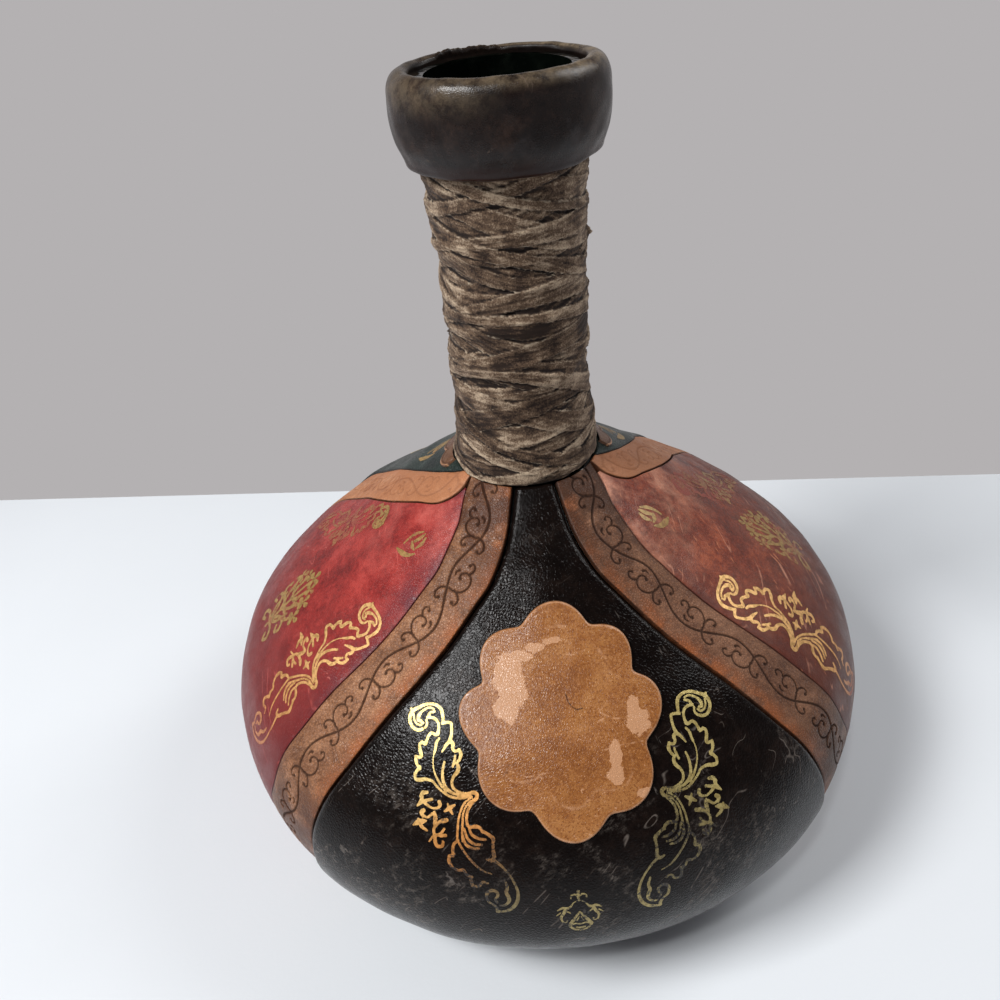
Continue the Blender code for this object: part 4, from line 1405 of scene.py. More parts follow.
@dataclass
class GoldStamp:
    """One stamp of gold foil on a skin piece."""

    name: str
    piece: SkinPiece
    design: Design
    finish: Gold
    down: float
    turn: float
    tilt: float = 0.0
    mirror: int = 1
    scale: float = 1.0
    line: float = 0.85
    wear: tuple[float, ...] = (0.0,)
    copper: tuple[float, ...] = (0.0,)
    slot: str = "black_leather"

    CELL = 0.17  # of the grid that the strokes are cut from
    LIFT = 0.035  # of the foil over the leather
    GROUND = ((-8.0, -32.0), (18.0, 32.0))  # corners of the grid, round the design's origin
    WEAR_REACH = 27.0  # from the origin to the ends of the rows of wear and copper
    LEAST_SLOPE = 0.2  # squared, below which a stroke's edge isn't trimmed

    def build(self) -> Piece:
        """Cuts the stamp's strokes out of a grid that lies on the leather.

        Returns:
            The stamp.
        """
        stencil = Stencil(*self.GROUND, self.CELL)
        for path, width in DESIGNS[self.design](self.line / self.scale):
            stencil.stroke(path, width)
        depth = stencil.depth
        slope = np.stack(np.gradient(depth, self.CELL), axis=-1)
        steep = np.einsum("ijk,ijk->ij", slope, slope)
        flat = np.stack(np.meshgrid(*[
            low + np.arange(count) * self.CELL for low, count in zip(stencil.low, depth.shape)
        ], indexing="ij"), axis=-1)
        close = (np.abs(depth) < 0.62 * self.CELL) & (steep > self.LEAST_SLOPE)
        shift = np.where(close, -depth / np.maximum(steep, self.LEAST_SLOPE), 0.0)
        flat = flat + shift[..., None] * slope
        depth = np.where(close, 0.0, depth)
        faces = grid_faces(*depth.shape)
        faces = faces[(depth.ravel()[faces] >= 0.0).all(axis=1)]
        used, faces = np.unique(faces, return_inverse=True)
        faces = faces.reshape(-1, 4)
        flat = flat.reshape(-1, 2)[used] * self.scale * (self.mirror, 1)
        angle = math.radians(self.tilt)
        across = flat[:, 0] * math.cos(angle) - flat[:, 1] * math.sin(angle)
        up = flat[:, 0] * math.sin(angle) + flat[:, 1] * math.cos(angle)
        down = self.down - up
        turn = math.radians(self.turn) + across / SKIN.at(down)[0]
        points = on_skin(down, turn, self.piece.lift(down, turn, edges=False) + self.LIFT)
        layers = {
            name: np.interp(-flat[:, 1],
                            np.linspace(-self.WEAR_REACH, self.WEAR_REACH, len(shares)) * self.scale, shares)
            for name, shares in (("rubbed", self.wear), ("copper", self.copper))
        }
        return add_piece(
            self.name, points, faces if self.mirror < 0 else faces[:, ::-1], self.finish.material(),
            layers=layers,
        )


def stamps(pieces: dict[str, SkinPiece]) -> list[GoldStamp]:
    """The gold stamps on the panels.

    Args:
        pieces: The skin's pieces by name.

    Returns:
        Front, left, right and back ones.
    """
    front, back = pieces["front_panel"], pieces["back_panel"]
    left, right = pieces["left_panel"], pieces["right_panel"]
    red, rust, teal = "red_leather", "rust_leather", "teal_leather"
    return [
        GoldStamp("gold_scroll_front_right", front, Design.ACANTHUS, FOIL_BRIGHT, 84.4, 14.3, -43.0, 1,
                  line=0.74, wear=(0.0, 0.05, 0.15, 0.4, 0.7, 0.85, 0.85, 0.7, 0.55)),
        GoldStamp("gold_scroll_front_left", front, Design.ACANTHUS, FOIL_BRIGHT, 80.8, -17.5, 43.0, -1,
                  line=0.74, wear=(0.0, 0.0, 0.0, 0.0, 0.15, 0.5, 0.85, 0.85, 0.8),
                  copper=(0.0, 0.0, 0.1, 0.5, 0.9, 0.9, 0.4, 0.0)),
        GoldStamp("gold_fleuron_front", front, Design.FLEURON, FOIL_BRIGHT, 110.5, -1.6, line=0.56,
                  wear=(0.6,)),
        GoldStamp("gold_scroll_left_front", left, Design.ACANTHUS, FOIL_ON_RED, 72.5, -58.2, -4.0, -1,
                  scale=1.07, line=0.86, slot=red, wear=(0.0, 0.0, 0.1, 0.3, 0.6, 0.9),
                  copper=(0.1, 0.2, 0.5, 0.7)),
        GoldStamp("gold_scroll_left_back", left, Design.ACANTHUS, FOIL_OLIVE, 44.0, -104.5, -46.0, 1,
                  scale=0.86, slot=red, line=1.1, wear=(0.3, 0.7, 0.9, 0.6, 0.8)),
        GoldStamp("gold_bouquet_left", left, Design.BOUQUET, FOIL_OLIVE, 71.5, -84.5, line=1.25, slot=red,
                  wear=(0.0, 0.3)),
        GoldStamp("gold_sprig_left", left, Design.SPRIG, FOIL_OLIVE, 25.0, -59.3, slot=red, scale=0.88,
                  line=0.5, wear=(0.2, 0.5)),
        GoldStamp("gold_scroll_right_front", right, Design.ACANTHUS, FOIL_ON_RED, 76.5, 55.0, 4.0, 1,
                  scale=1.09, line=0.96, slot=rust, wear=(0.0, 0.0, 0.0, 0.2, 0.5, 0.9),
                  copper=(0.1, 0.2, 0.3, 0.7)),
        GoldStamp("gold_scroll_right_back", right, Design.ACANTHUS, FOIL_OLIVE, 44.0, 102.0, 46.0, -1,
                  scale=0.88, slot=rust, line=1.1, wear=(1.0, 0.8, 0.5, 0.4, 0.8)),
        GoldStamp("gold_bouquet_right", right, Design.BOUQUET, FOIL_OLIVE, 68.0, 84.0, line=1.2, slot=rust,
                  wear=(0.1, 0.5)),
        GoldStamp("gold_sprig_right", right, Design.SPRIG, FOIL_OLIVE, 23.2, 54.7, 0.0, -1, scale=0.85,
                  slot=rust, line=0.6, wear=(0.0, 0.2)),
        GoldStamp("gold_scroll_back_right", back, Design.ACANTHUS, FOIL_BRIGHT, 80.0, 162.0, 38.0, -1,
                  slot=teal, wear=(0.0, 0.1, 0.4, 0.6)),
        GoldStamp("gold_scroll_back_left", back, Design.ACANTHUS, FOIL_BRIGHT, 80.0, 198.0, -38.0, 1,
                  slot=teal, wear=(0.0, 0.1, 0.4, 0.6)),
        GoldStamp("gold_fleuron_back", back, Design.FLEURON, FOIL_BRIGHT, 110.5, 180.0, slot=teal,
                  wear=(0.3,)),
        GoldStamp("gold_sprig_back_left", back, Design.SPRIG, FOIL_OLIVE, 14.0, -122.0, 60.0, slot=teal),
        GoldStamp("gold_sprig_back_right", back, Design.SPRIG, FOIL_OLIVE, 14.0, 120.0, -60.0, slot=teal),
    ]


def from_lines(lines: Sequence[Sequence[tuple[float, float]]], across: Array, up: Array) -> Array:
    """Distance of each place from the nearest of some bent lines.

    Args:
        lines: Bent lines, each a row of points.
        across: Places across.
        up: Places up.

    Returns:
        The distances.
    """
    nearest = np.full_like(across, 99.0)
    for line in lines:
        for (x, y), (next_x, next_y) in zip(line, line[1:]):
            wide, high = next_x - x, next_y - y
            share = np.clip(((across - x) * wide + (up - y) * high) / (wide**2 + high**2), 0.0, 1.0)
            nearest = np.minimum(nearest, np.hypot(across - x - share * wide, up - y - share * high))
    return nearest


@dataclass
class Medallion:
    """Scalloped oval of leather laid on a panel, with a line pressed just inside its edge."""

    node: str
    panel: SkinPiece
    down: float
    turn: float
    lobes: tuple[tuple[float, float], ...] = (
        (0.6, 29.4), (19.5, 16.5), (26.8, -3.7), (21.0, -20.0),
        (0.6, -29.5), (-19.0, -19.5), (-25.3, -1.0), (-17.5, 17.5),
    )
    notches: tuple[tuple[float, float], ...] = (
        (-7.1, 23.7), (10.5, 22.0), (20.5, 7.2), (21.0, -10.3),
        (9.9, -24.5), (-8.8, -21.7), (-20.9, -8.7), (-18.5, 8.4),
    )
    patches: tuple[tuple[float, float, float, float], ...] = (
        (-11.0, 8.5, 3.6, 7.0), (-12.6, 2.0, 2.6, 3.4), (-7.6, 15.4, 2.6, 1.5), (-4.0, 17.6, 2.4, 1.1),
        (0.4, 19.0, 2.2, 0.8), (18.6, -1.2, 1.6, 2.6), (19.6, -5.0, 3.0, 3.2), (12.6, -11.0, 1.5, 3.4),
        (12.2, -15.6, 2.0, 2.2), (19.1, -21.0, 2.4, 1.0),
    )
    cuts: tuple = (((2.3, 5.3), (2.7, 3.4), (3.5, 2.0), (4.6, 1.1), (6.1, 1.25)),)
    rubs: tuple = (
        ((9.9, -0.3), (12.6, 1.7)), ((10.2, -0.6), (13.0, -2.6), (16.5, -3.5)),
        ((9.6, -9.3), (15.0, -9.1), (20.0, -9.6)),
        ((-14.0, -12.0), (-9.0, -13.6), (-4.0, -12.8)),
    )
    thickness: float = 1.1
    edge_radius: float = 0.9
    line_inset: float = 1.7
    line_width: float = 0.5
    worn_inset: float = 7.5
    deeper: float = 0.8
    line_depth: float = 0.03
    line_shade: float = 0.05
    skirt: float = 0.4
    roundings: int = 10
    rays: int = 640
    rings: int = 72

    def reach(self, angle: Array) -> Array:
        """Distance from the centre to the edge: arcs between the notches, through the lobes' tips.

        Args:
            angle: Angles from the right, upwards.

        Returns:
            Distances to the edge.
        """
        def polar(points: Sequence[tuple[float, float]]) -> tuple[Array, Array]:
            """Angles in degrees and distances of points."""
            spots = np.array(points)
            return np.degrees(np.arctan2(spots[:, 1], spots[:, 0])) % 360.0, np.hypot(*spots.T)
        angle = np.degrees(angle) % 360.0
        tips, notches = polar(self.lobes), polar(self.notches)
        result = np.zeros_like(angle)
        order = np.argsort(notches[0])
        starts, depths = notches[0][order], notches[1][order] - self.deeper
        ends, next_depths = np.r_[starts[1:], starts[0] + 360.0], np.r_[depths[1:], depths[0]]
        for start, depth, end, next_depth in zip(starts, depths, ends, next_depths):
            share = ((angle - start) % 360.0) / (end - start)
            tip = ((tips[0] - start) % 360.0) / (end - start)
            which = int(np.argmin(np.where(tip < 1.0, np.abs(tip - 0.5), 9.0)))
            bulge = tips[1][which] - (depth + (next_depth - depth) * tip[which])
            inside = (share >= 0.0) & (share < 1.0)
            bend = np.sin(math.pi * np.clip(share, 0.0, 1.0)) ** 0.95
            result = np.where(inside, depth + (next_depth - depth) * share + bulge * bend, result)
        for _ in range(self.roundings):
            result = blurred(result, 2)
        return result

    def build(self) -> Piece:
        """Makes the medallion in place of its CAD node.

        Returns:
            The medallion.
        """
        angle = np.linspace(0.0, TAU, self.rays, endpoint=False)
        reach = self.reach(angle)
        inset = np.r_[0.0, 0.12, 0.3, 0.55, 0.9, 1.3, np.linspace(1.55, 3.4, 12)]
        shares = np.linspace(0.0, 1.0, self.rings - len(inset))[:, None]
        radial = np.vstack([0.4 + (reach - 3.8) * shares, reach - inset[::-1][1:, None], reach[None]])
        across, up = radial * np.cos(angle), radial * np.sin(angle)
        from_edge = reach - radial
        down = self.down - up
        turn = self.turn + across / SKIN.at(down)[0]
        rounding = np.clip(1.0 - from_edge / self.edge_radius, 0.0, 1.0)
        lift = self.panel.lift(down, turn, edges=False)
        line = rise(np.abs(from_edge - self.line_inset), self.line_width, 0.1)
        top = lift + self.thickness * (0.45 + 0.55 * np.sqrt(1.0 - rounding**2)) - self.line_depth * line
        points = np.concatenate([
            on_skin(down, turn, top), on_skin(down[-1:], turn[-1:], lift[-1:] - self.skirt),
        ])
        patch = np.zeros_like(across)
        for x, y, wide, high in self.patches:
            spot = np.hypot((across - x) / wide, (up - y) / high)
            patch = np.maximum(patch, rise(spot, 1.5, 0.5))
        tool = line * self.line_shade
        ring = self.worn_inset + 1.2 * np.sin(3.0 * angle + 1.0)
        worn = rise(np.abs(from_edge - ring), 0.5, 0.15) * rise(np.abs(np.sin(angle)), 0.35, 0.8)
        layers = {
            "edge": from_edge, "tool": tool, "patch": patch, "front": from_edge, "worn": worn,
            "cut": from_lines(self.cuts, across, up), "rub": from_lines(self.rubs, across, up),
        }
        layers = {layer: np.concatenate([values, values[-1:]]) for layer, values in layers.items()}
        faces = grid_faces(len(points), self.rays, around=True)
        hub = len(points) * self.rays
        points = np.concatenate([points.reshape(-1, 3), points[0].mean(axis=0, keepdims=True)])
        layers = {layer: np.r_[values.ravel(), values[0].mean()] for layer, values in layers.items()}
        return add_piece(
            self.node + "_leather", points, np.concatenate([faces, fan(hub, self.rays)]),
            MEDALLION_TAN.material(), [self.node], layers,
        )


@dataclass(frozen=True)
class MedallionLeather(Leather):
    """Medallion's tan leather: pale flaked patches, a few dark scratches and a pale rim, partly worn and
    partly a painted highlight.
    """

    bare: Colour = tint(196, 146, 108)

    def marks(self, graph: Graph, colour: Socket) -> Socket:
        """Pale patches, scratches and a pale rim, the rim partly worn and partly a painted highlight.

        Args:
            graph: Material that is made.
            colour: Mottled colour.

        Returns:
            The colour with its marks.
        """
        ragged = graph.plus(graph.layer("patch"), graph.times(graph.noise(2.4, 7, 0.72), 2.8))
        flaked = graph.remap(ragged, 1.78, 1.86)
        colour = graph.mix(graph.times(flaked, 0.9), colour, self.bare)
        line = graph.scratches(16.0, 3, graph.stretched((1.0, 0.3, 1.0), (0.3, 0.2, 0.6)), 0.004)
        line = graph.times(line, graph.cloud(20.0, 2, 0.55, 0.56, 0.62))
        colour = graph.mix(graph.times(line, 0.5), colour, self.seam)
        worn = graph.times(graph.layer("worn"), graph.cloud(4.0, 5, 0.7, 0.46, 0.60))
        colour = graph.mix(graph.times(worn, 0.6), colour, self.bare)
        rub = graph.times(graph.remap(graph.layer("rub"), 0.3, 0.1),
                          graph.cloud(1.6, 4, 0.55, 0.44, 0.56, 0.1, 0.6))
        colour = graph.mix(rub, colour, self.bare)
        colour = graph.mix(graph.times(graph.remap(graph.layer("cut"), 0.26, 0.1), 0.75), colour, self.seam)
        # Pale rim along the edge: partly worn edge and partly a painted highlight on the cut edge
        rim = graph.times(graph.remap(graph.layer("edge"), 0.85, 0.5),
                          graph.cloud(3.0, 3, 0.55, 0.35, 0.6, 0.2, 0.75))
        return graph.mix(rim, colour, self.bare)


MEDALLION_TAN = MedallionLeather(
    "medallion_tan_leather", tint(122, 70, 31), tint(148, 92, 45), tint(171, 116, 66), tint(54, 30, 18),
    grain=0.6, grain_depth=0.04, rough=(0.22, 0.32), mottle=14.0, seam_reach=0.35, scuff=tint(210, 166, 128),
    crease=0.12, shine=0.42, speckle=0.85,
)


@dataclass
class NeckTab:
    """Scalloped tab on the back panel, round the back of the neck."""

    panel: SkinPiece
    top: float = 0.2
    foot: float = 5.6
    scallop: float = 2.0
    lobes: int = 10
    thickness: float = 0.9
    edge_radius: float = 0.8
    line_inset: float = 1.2
    line_depth: float = 0.12
    line_shade: float = 0.6
    skirt: float = 0.3
    columns: int = 640
    rows: int = 18

    def build(self) -> Piece:
        """Makes the tab in place of its CAD node.

        Returns:
            The tab.
        """
        share = np.linspace(0.0, 1.0, self.columns)
        foot = self.foot - self.scallop * (1 - np.abs(np.sin(math.pi * self.lobes * share)) ** 0.8)
        steps = np.linspace(0.0, 1.0, self.rows)[:, None]
        down = self.top + (foot - self.top) * steps
        start = Seam.BACK_OUT.turn(np.array(self.foot), 1)
        end = Seam.BACK_OUT.turn(np.array(self.foot), -1) + TAU
        turn = np.broadcast_to(start + (end - start) * share, down.shape)
        edge = foot - down
        rounding = np.clip(1.0 - edge / self.edge_radius, 0.0, 1.0)
        lift = self.panel.lift(down, turn, edges=False)
        line = rise(np.abs(edge - self.line_inset), 0.4, 0.1)
        top = lift + self.thickness * (0.4 + 0.6 * np.sqrt(1.0 - rounding**2)) - self.line_depth * line
        under = lift - self.skirt
        points = np.concatenate([on_skin(down, turn, top), on_skin(down[-1:], turn[-1:], under[-1:])])
        ends = on_skin(down, turn, under)
        ends = np.concatenate([ends, ends[-1:]])
        points = np.concatenate([ends[:, :1], points, ends[:, -1:]], axis=1)
        layers = {"edge": edge, "tool": line * self.line_shade, "patch": 0 * line, "worn": 0 * line,
                  "front": edge}
        layers = {layer: np.pad(values, ((0, 1), (1, 1)), mode="edge") for layer, values in layers.items()}
        return add_piece(
            "back_neck_tab_leather", points, grid_faces(*points.shape[:2]), MEDALLION_TAN.material(),
            ["back_neck_tab"], layers,
        )


@dataclass(frozen=True)
class Suede:
    """Crumpled suede strip: nap streaked along it, pale frayed edges with a painted highlight, painted shade
    in creases.
    """

    name: str = "crumpled_taupe_suede"
    dark: Colour = tint(36, 22, 13)
    base: Colour = tint(95, 75, 58)
    light: Colour = tint(180, 160, 136)
    # Near black of the painted shade in the creases
    crease_shade: Colour = tint(24, 12, 6)
    # Pale frayed nap at the strips' edges, partly a painted highlight
    frayed: Colour = tint(200, 182, 158)

    def material(self) -> Material:
        """The finish as a material.

        Returns:
            The material.
        """
        graph = Graph(self.name)
        strip = graph.node("ShaderNodeCombineXYZ", {
            0: graph.times(graph.layer("along"), 0.22), 1: graph.layer("across"), 2: 0.0,
        }).outputs[0]
        shade = graph.times(graph.noise(2.6, 4, 0.6, strip), 0.18)
        shade = graph.plus(shade, graph.times(graph.noise(5.5, 5, 0.62), 0.40))
        shade = graph.plus(shade, graph.times(graph.noise(0.36, 2, 0.6), 0.26))
        shade = graph.plus(shade, graph.times(graph.layer("tone"), 0.045))
        # Painted shade and light: places below the mean height are darkened, places above it lightened
        shade = graph.plus(shade, graph.times(graph.layer("crease"), -0.22))
        colour = graph.ramp(shade, ((0.34, self.dark), (0.43, self.base), (0.55, self.light)))
        # Pale edges: frayed nap and a painted highlight along each strip's edge
        fray_and_edge_highlight = graph.remap(graph.layer("edge"), 0.42, 0.06)
        fray_and_edge_highlight = graph.times(fray_and_edge_highlight, graph.cloud(2.0, 4, 0.6, 0.44, 0.58))
        colour = graph.mix(graph.times(fray_and_edge_highlight, 0.72), colour, self.frayed)
        # Painted shade: the deeper creases go towards near black
        crease_shade_mask = graph.remap(graph.layer("crease"), 0.02, 0.24)
        colour = graph.mix(graph.times(crease_shade_mask, 0.9), colour, self.crease_shade)
        folds = graph.bump(graph.noise(1.1, 4, 0.62, strip), 0.22)
        relief = graph.bump(graph.noise(0.28, 4, 0.75), 0.07, folds)
        graph.set(Base_Color=colour, Roughness=0.8, Normal=relief, Sheen_Weight=0.06, Sheen_Roughness=0.5,
                  Specular_IOR_Level=0.25)
        return graph.material


@dataclass
class Winding:
    """One pass of the strip up or down the neck, whose loops lean by a sway towards a heading."""

    pitch: float
    width: float
    upward: bool
    sway: float
    heading: float = 0.0
    start: float = 0.0
    end: float = 1.0
    thickness: float = 0.25


@dataclass
class NeckWrap:
    """Suede strip wound round the neck in several crossing passes, laid one over the other on a grid."""

    foot: float = 119.3
    head: float = 201.2
    sleeve: float = 16.1
    foot_flare: float = 1.2
    head_flare: float = 1.6
    filled: float = 0.05
    columns: int = 384
    rows: int = 256
    seed: int = 42
    soft_edge: float = 0.16
    crease_blurs: int = 12
    ridge: float = 0.26
    pleat: float = 0.15
    curl: float = 0.15
    least_step: float = 0.08
    bridging: float = 0.38
    passes: tuple[Winding, ...] = (
        Winding(6.0, 6.5, True, 3.0, 0.0),
        Winding(6.5, 5.8, False, 3.5, 170.0),
        Winding(7.0, 5.6, True, 4.0, -20.0),
        Winding(7.5, 5.4, False, 4.0, 205.0),
        Winding(8.0, 5.4, True, 4.5, 25.0),
        Winding(9.0, 5.0, False, 4.5, 150.0),
        Winding(3.0, 5.0, True, 1.5, 0.0, 0.0, 0.09),
        Winding(9.5, 5.2, True, 4.5, -40.0),
        Winding(10.5, 4.8, False, 5.0, 185.0),
        Winding(15.0, 5.0, True, 4.0, 30.0),
        Winding(17.0, 4.4, False, 4.5, 165.0),
    )
    tufts: tuple[tuple[float, float, float, float], ...] = (
        (84.0, 181.0, 1.6, 1.6), (92.0, 166.5, 1.4, 1.2), (88.0, 149.0, 1.3, 3.6), (-88.0, 158.0, 0.9, 1.5),
        (200.0, 171.0, 1.5, 1.8), (250.0, 140.0, 1.3, 1.4),
    )
    bare: tuple[float, float, float, float] = (-4.0, 163.6, 30.0, 1.9)

    def laid(self) -> tuple[Array, dict[str, Array]]:
        """Lays every pass.

        Returns:
            Height of the winding over the sleeve at each place, and the layers for the material.
        """
        draw = np.random.default_rng(self.seed)
        turn = np.linspace(-math.pi, math.pi, self.columns, endpoint=False)
        height = np.linspace(self.foot, self.head, self.rows)[:, None]
        tall = self.head - self.foot
        raised = np.full((self.rows, self.columns), self.filled)
        tone, edge = np.full_like(raised, -1.0), np.full_like(raised, 3.0)
        along, across = np.zeros_like(raised), np.zeros_like(raised)

        def wander(total: Array, slow: float, fast: float, waves: int = 5) -> Array:
            """Random smooth change along the strip."""
            parts = [np.sin(draw.uniform(slow, fast) * total + draw.uniform(0.0, TAU)) for _ in range(waves)]
            return sum(parts) / math.sqrt(2 * waves)

        for number, lay in enumerate(self.passes):
            loops = int(math.ceil(((lay.end - lay.start) * tall + 2 * lay.sway) / lay.pitch)) + 1
            total = np.arange(loops)[:, None] * TAU + turn + math.pi
            climb = lay.pitch * total / TAU - lay.sway
            begin = lay.start * tall
            base = self.foot + begin + climb if lay.upward else self.head - begin - climb
            lean = turn + math.radians(lay.heading) + 1.5 * wander(total, 0.06, 0.4)
            centre = base + lay.sway * np.sin(lean) + 0.7 * wander(total, 0.5, 2.2)
            slope = np.gradient(centre, turn, axis=1) / (self.sleeve + 2.0)
            narrow = np.clip(wander(total, 0.4, 1.5), -0.4, 1.3)
            wide = lay.width * (1.0 - 0.55 * narrow)
            fold, crimp = wander(total, 0.3, 1.4), wander(total, 0.8, 2.6)
            shade, curling = wander(total, 0.2, 0.9), wander(total, 2.0, 5.0)
            ragged = 0.13 * wander(total, 12.0, 30.0) + 0.10 * wander(total, 40.0, 90.0)
            for loop in range(loops):
                reach = (height - centre[loop]) / np.sqrt(1.0 + slope[loop] ** 2)
                half = wide[loop] / 2
                inset = half + ragged[loop] - np.abs(reach)
                cover = rise(inset, -self.soft_edge, self.soft_edge)
                below = raised
                for step, axis in ((3, 0), (3, 0), (3, 0), (4, 1), (4, 1)):
                    below = blurred(below, step, axis)
                below = np.maximum(below, (1.0 - self.bridging) * raised + self.bridging * below)
                share = reach / np.maximum(half, 0.5)
                ridge = 1.0 - np.abs(np.sin(share * (1.8 + 0.8 * fold[loop]) + 5.0 * fold[loop]))
                pleat = 1.0 - np.abs(np.sin(share * 5.5 + 8.0 * crimp[loop]))
                crumple = self.ridge * ridge * (0.4 + 0.6 * np.clip(narrow[loop], 0.0, 1.0))
                crumple = crumple + self.pleat * pleat
                thick = lay.thickness * (lay.width / np.maximum(wide[loop], 2.0)) ** 0.6
                curl = self.curl * np.exp(-np.maximum(inset, 0.0) / 0.4) * (0.6 + curling[loop])
                top = below + thick + crumple * np.clip(inset / 0.8, 0.0, 1.0) + curl
                raised = raised + cover * (np.maximum(top, raised + self.least_step) - raised)
                tone = tone + cover * (shade[loop] + 0.35 * np.sin(1.6 * share + 3.0 * fold[loop]) - tone)
                edge = edge + cover * (np.maximum(inset, 0.0) - edge)
                along = np.where(cover > 0.5, (total[loop] * self.sleeve + 37.0 * number) * MM, along)
                across = np.where(cover > 0.5, (reach + 11.0 * loop + 5.0 * number) * MM, across)
        raised, tone = self.frayed(raised, tone, turn, height)
        # The suede paints shade into these creases and light onto the ridges
        crease = self.creases(raised)
        return raised, {"tone": tone, "edge": edge, "crease": crease, "along": along, "across": across}

    def frayed(self, raised: Array, tone: Array, turn: Array, height: Array) -> tuple[Array, Array]:
        """Adds the frayed tufts, and darkens the place where the strip has slipped apart.

        Args:
            raised: Height of the winding over the sleeve.
            tone: Shade of the strip.
            turn: Turns from the front.
            height: Heights over the table.

        Returns:
            The height and the shade with them.
        """
        degrees = np.degrees(turn)
        for angle, level, tall_by, spread in self.tufts:
            away = (degrees - angle + 180.0) % 360.0 - 180.0
            spot = np.exp(
                -((away * self.sleeve * math.pi / 180.0) / 0.9) ** 2 - ((height - level) / spread) ** 2)
            frizz = 0.6 + 0.4 * np.sin(11.0 * height) * np.sin(0.9 * away + 3.0 * height)
            raised, tone = raised + tall_by * spot * frizz, tone - 2.0 * spot
        angle, level, wide_by, tall_by = self.bare
        spot = rise(np.hypot((degrees - angle) / wide_by, (height - level) / tall_by), 1.2, 0.7)
        return raised, tone - 2.6 * spot

    def creases(self, raised: Array) -> Array:
        """How far each place lies below the mean height around it.

        Args:
            raised: Height of the winding over the sleeve.

        Returns:
            The depths.
        """
        smoothed = raised
        for _ in range(self.crease_blurs):
            for axis in (0, 1):
                smoothed = blurred(smoothed, 1, axis)
        return smoothed - raised

    def core(self, height: Array) -> Array:
        """Radius of the sleeve below the winding at a height.

        Args:
            height: Heights over the table.

        Returns:
            Radii.
        """
        low = self.foot_flare * rise(height, self.foot + 16.0, self.foot)
        high = self.head_flare * rise(height, self.head - 26.0, self.head)
        return self.sleeve + low + high

    def build(self) -> Piece:
        """Makes the winding in place of its CAD node.

        Returns:
            The winding.
        """
        raised, layers = self.laid()
        height = np.linspace(self.foot, self.head, self.rows)[:, None]
        turn = np.linspace(-math.pi, math.pi, self.columns, endpoint=False)
        radius = self.core(height) + raised
        LOG.info("winding: mean outer radius %.2f, most %.2f, lift %.2f", radius.mean(), radius.max(),
                 raised.mean())
        inner = self.core(height[[0, -1]]) - 0.3 + 0 * turn
        radius = np.concatenate([inner[:1], radius, inner[1:]])
        height = np.concatenate([height[:1], height, height[-1:]]) + 0 * turn
        points = round_axis(radius, turn, height)[::-1]
        layers = {
            layer: np.pad(values, ((1, 1), (0, 0)), mode="edge")[::-1] for layer, values in layers.items()
        }
        return add_piece(
            "neck_wrap_suede", points, grid_faces(*points.shape[:2], around=True), Suede().material(),
            ["neck_wrap"], layers,
        )


@dataclass(frozen=True)
class CollarLeather(Leather):
    """Collar's dark leather, worn to khaki and brown on its rim with a painted highlight, hazed grey on its
    swell.
    """

    # Khaki of the worn rim, greyed to stand in part for a painted highlight
    worn: Colour = tint(134, 117, 94)
    foot: Colour = tint(34, 16, 12)
    haze: Colour = tint(88, 84, 86)

    def marks(self, graph: Graph, colour: Socket) -> Socket:
        """Worn rim, partly a painted highlight, and haze.

        Args:
            graph: Material that is made.
            colour: Mottled colour.

        Returns:
            The colour with its marks.
        """
        # Worn rim: partly real khaki wear and partly a painted highlight
        rim = graph.times(graph.layer("rim"), graph.cloud(3.4, 7, 0.75, 0.30, 0.66))
        colour = graph.mix(graph.times(rim, 0.8), colour, self.worn)
        haze = graph.cloud(9.0, 6, 0.7, 0.54, 0.70)
        colour = graph.mix(graph.times(haze, 0.16), colour, self.haze)
        foot = graph.times(graph.remap(graph.layer("front"), 0.19, 0.12), 0.8)
        return graph.mix(foot, colour, self.foot)

    def reflection(self, graph: Graph) -> Socket:
        """Weak inside the mouth, as part of the painted shade there."""
        return graph.remap(graph.layer("tool"), 0.0, 0.8, self.shine, 0.02)


COLLAR_BROWN = CollarLeather(
    "moulded_collar_leather", tint(15, 9, 8), tint(27, 18, 15), tint(46, 33, 27), tint(5, 3, 2),
    grain=0.5, grain_depth=0.015, rough=(0.20, 0.34), mottle=7.0, scuff=tint(112, 96, 84), scuff_start=0.64,
    shine=0.26, crease=0.06,
)


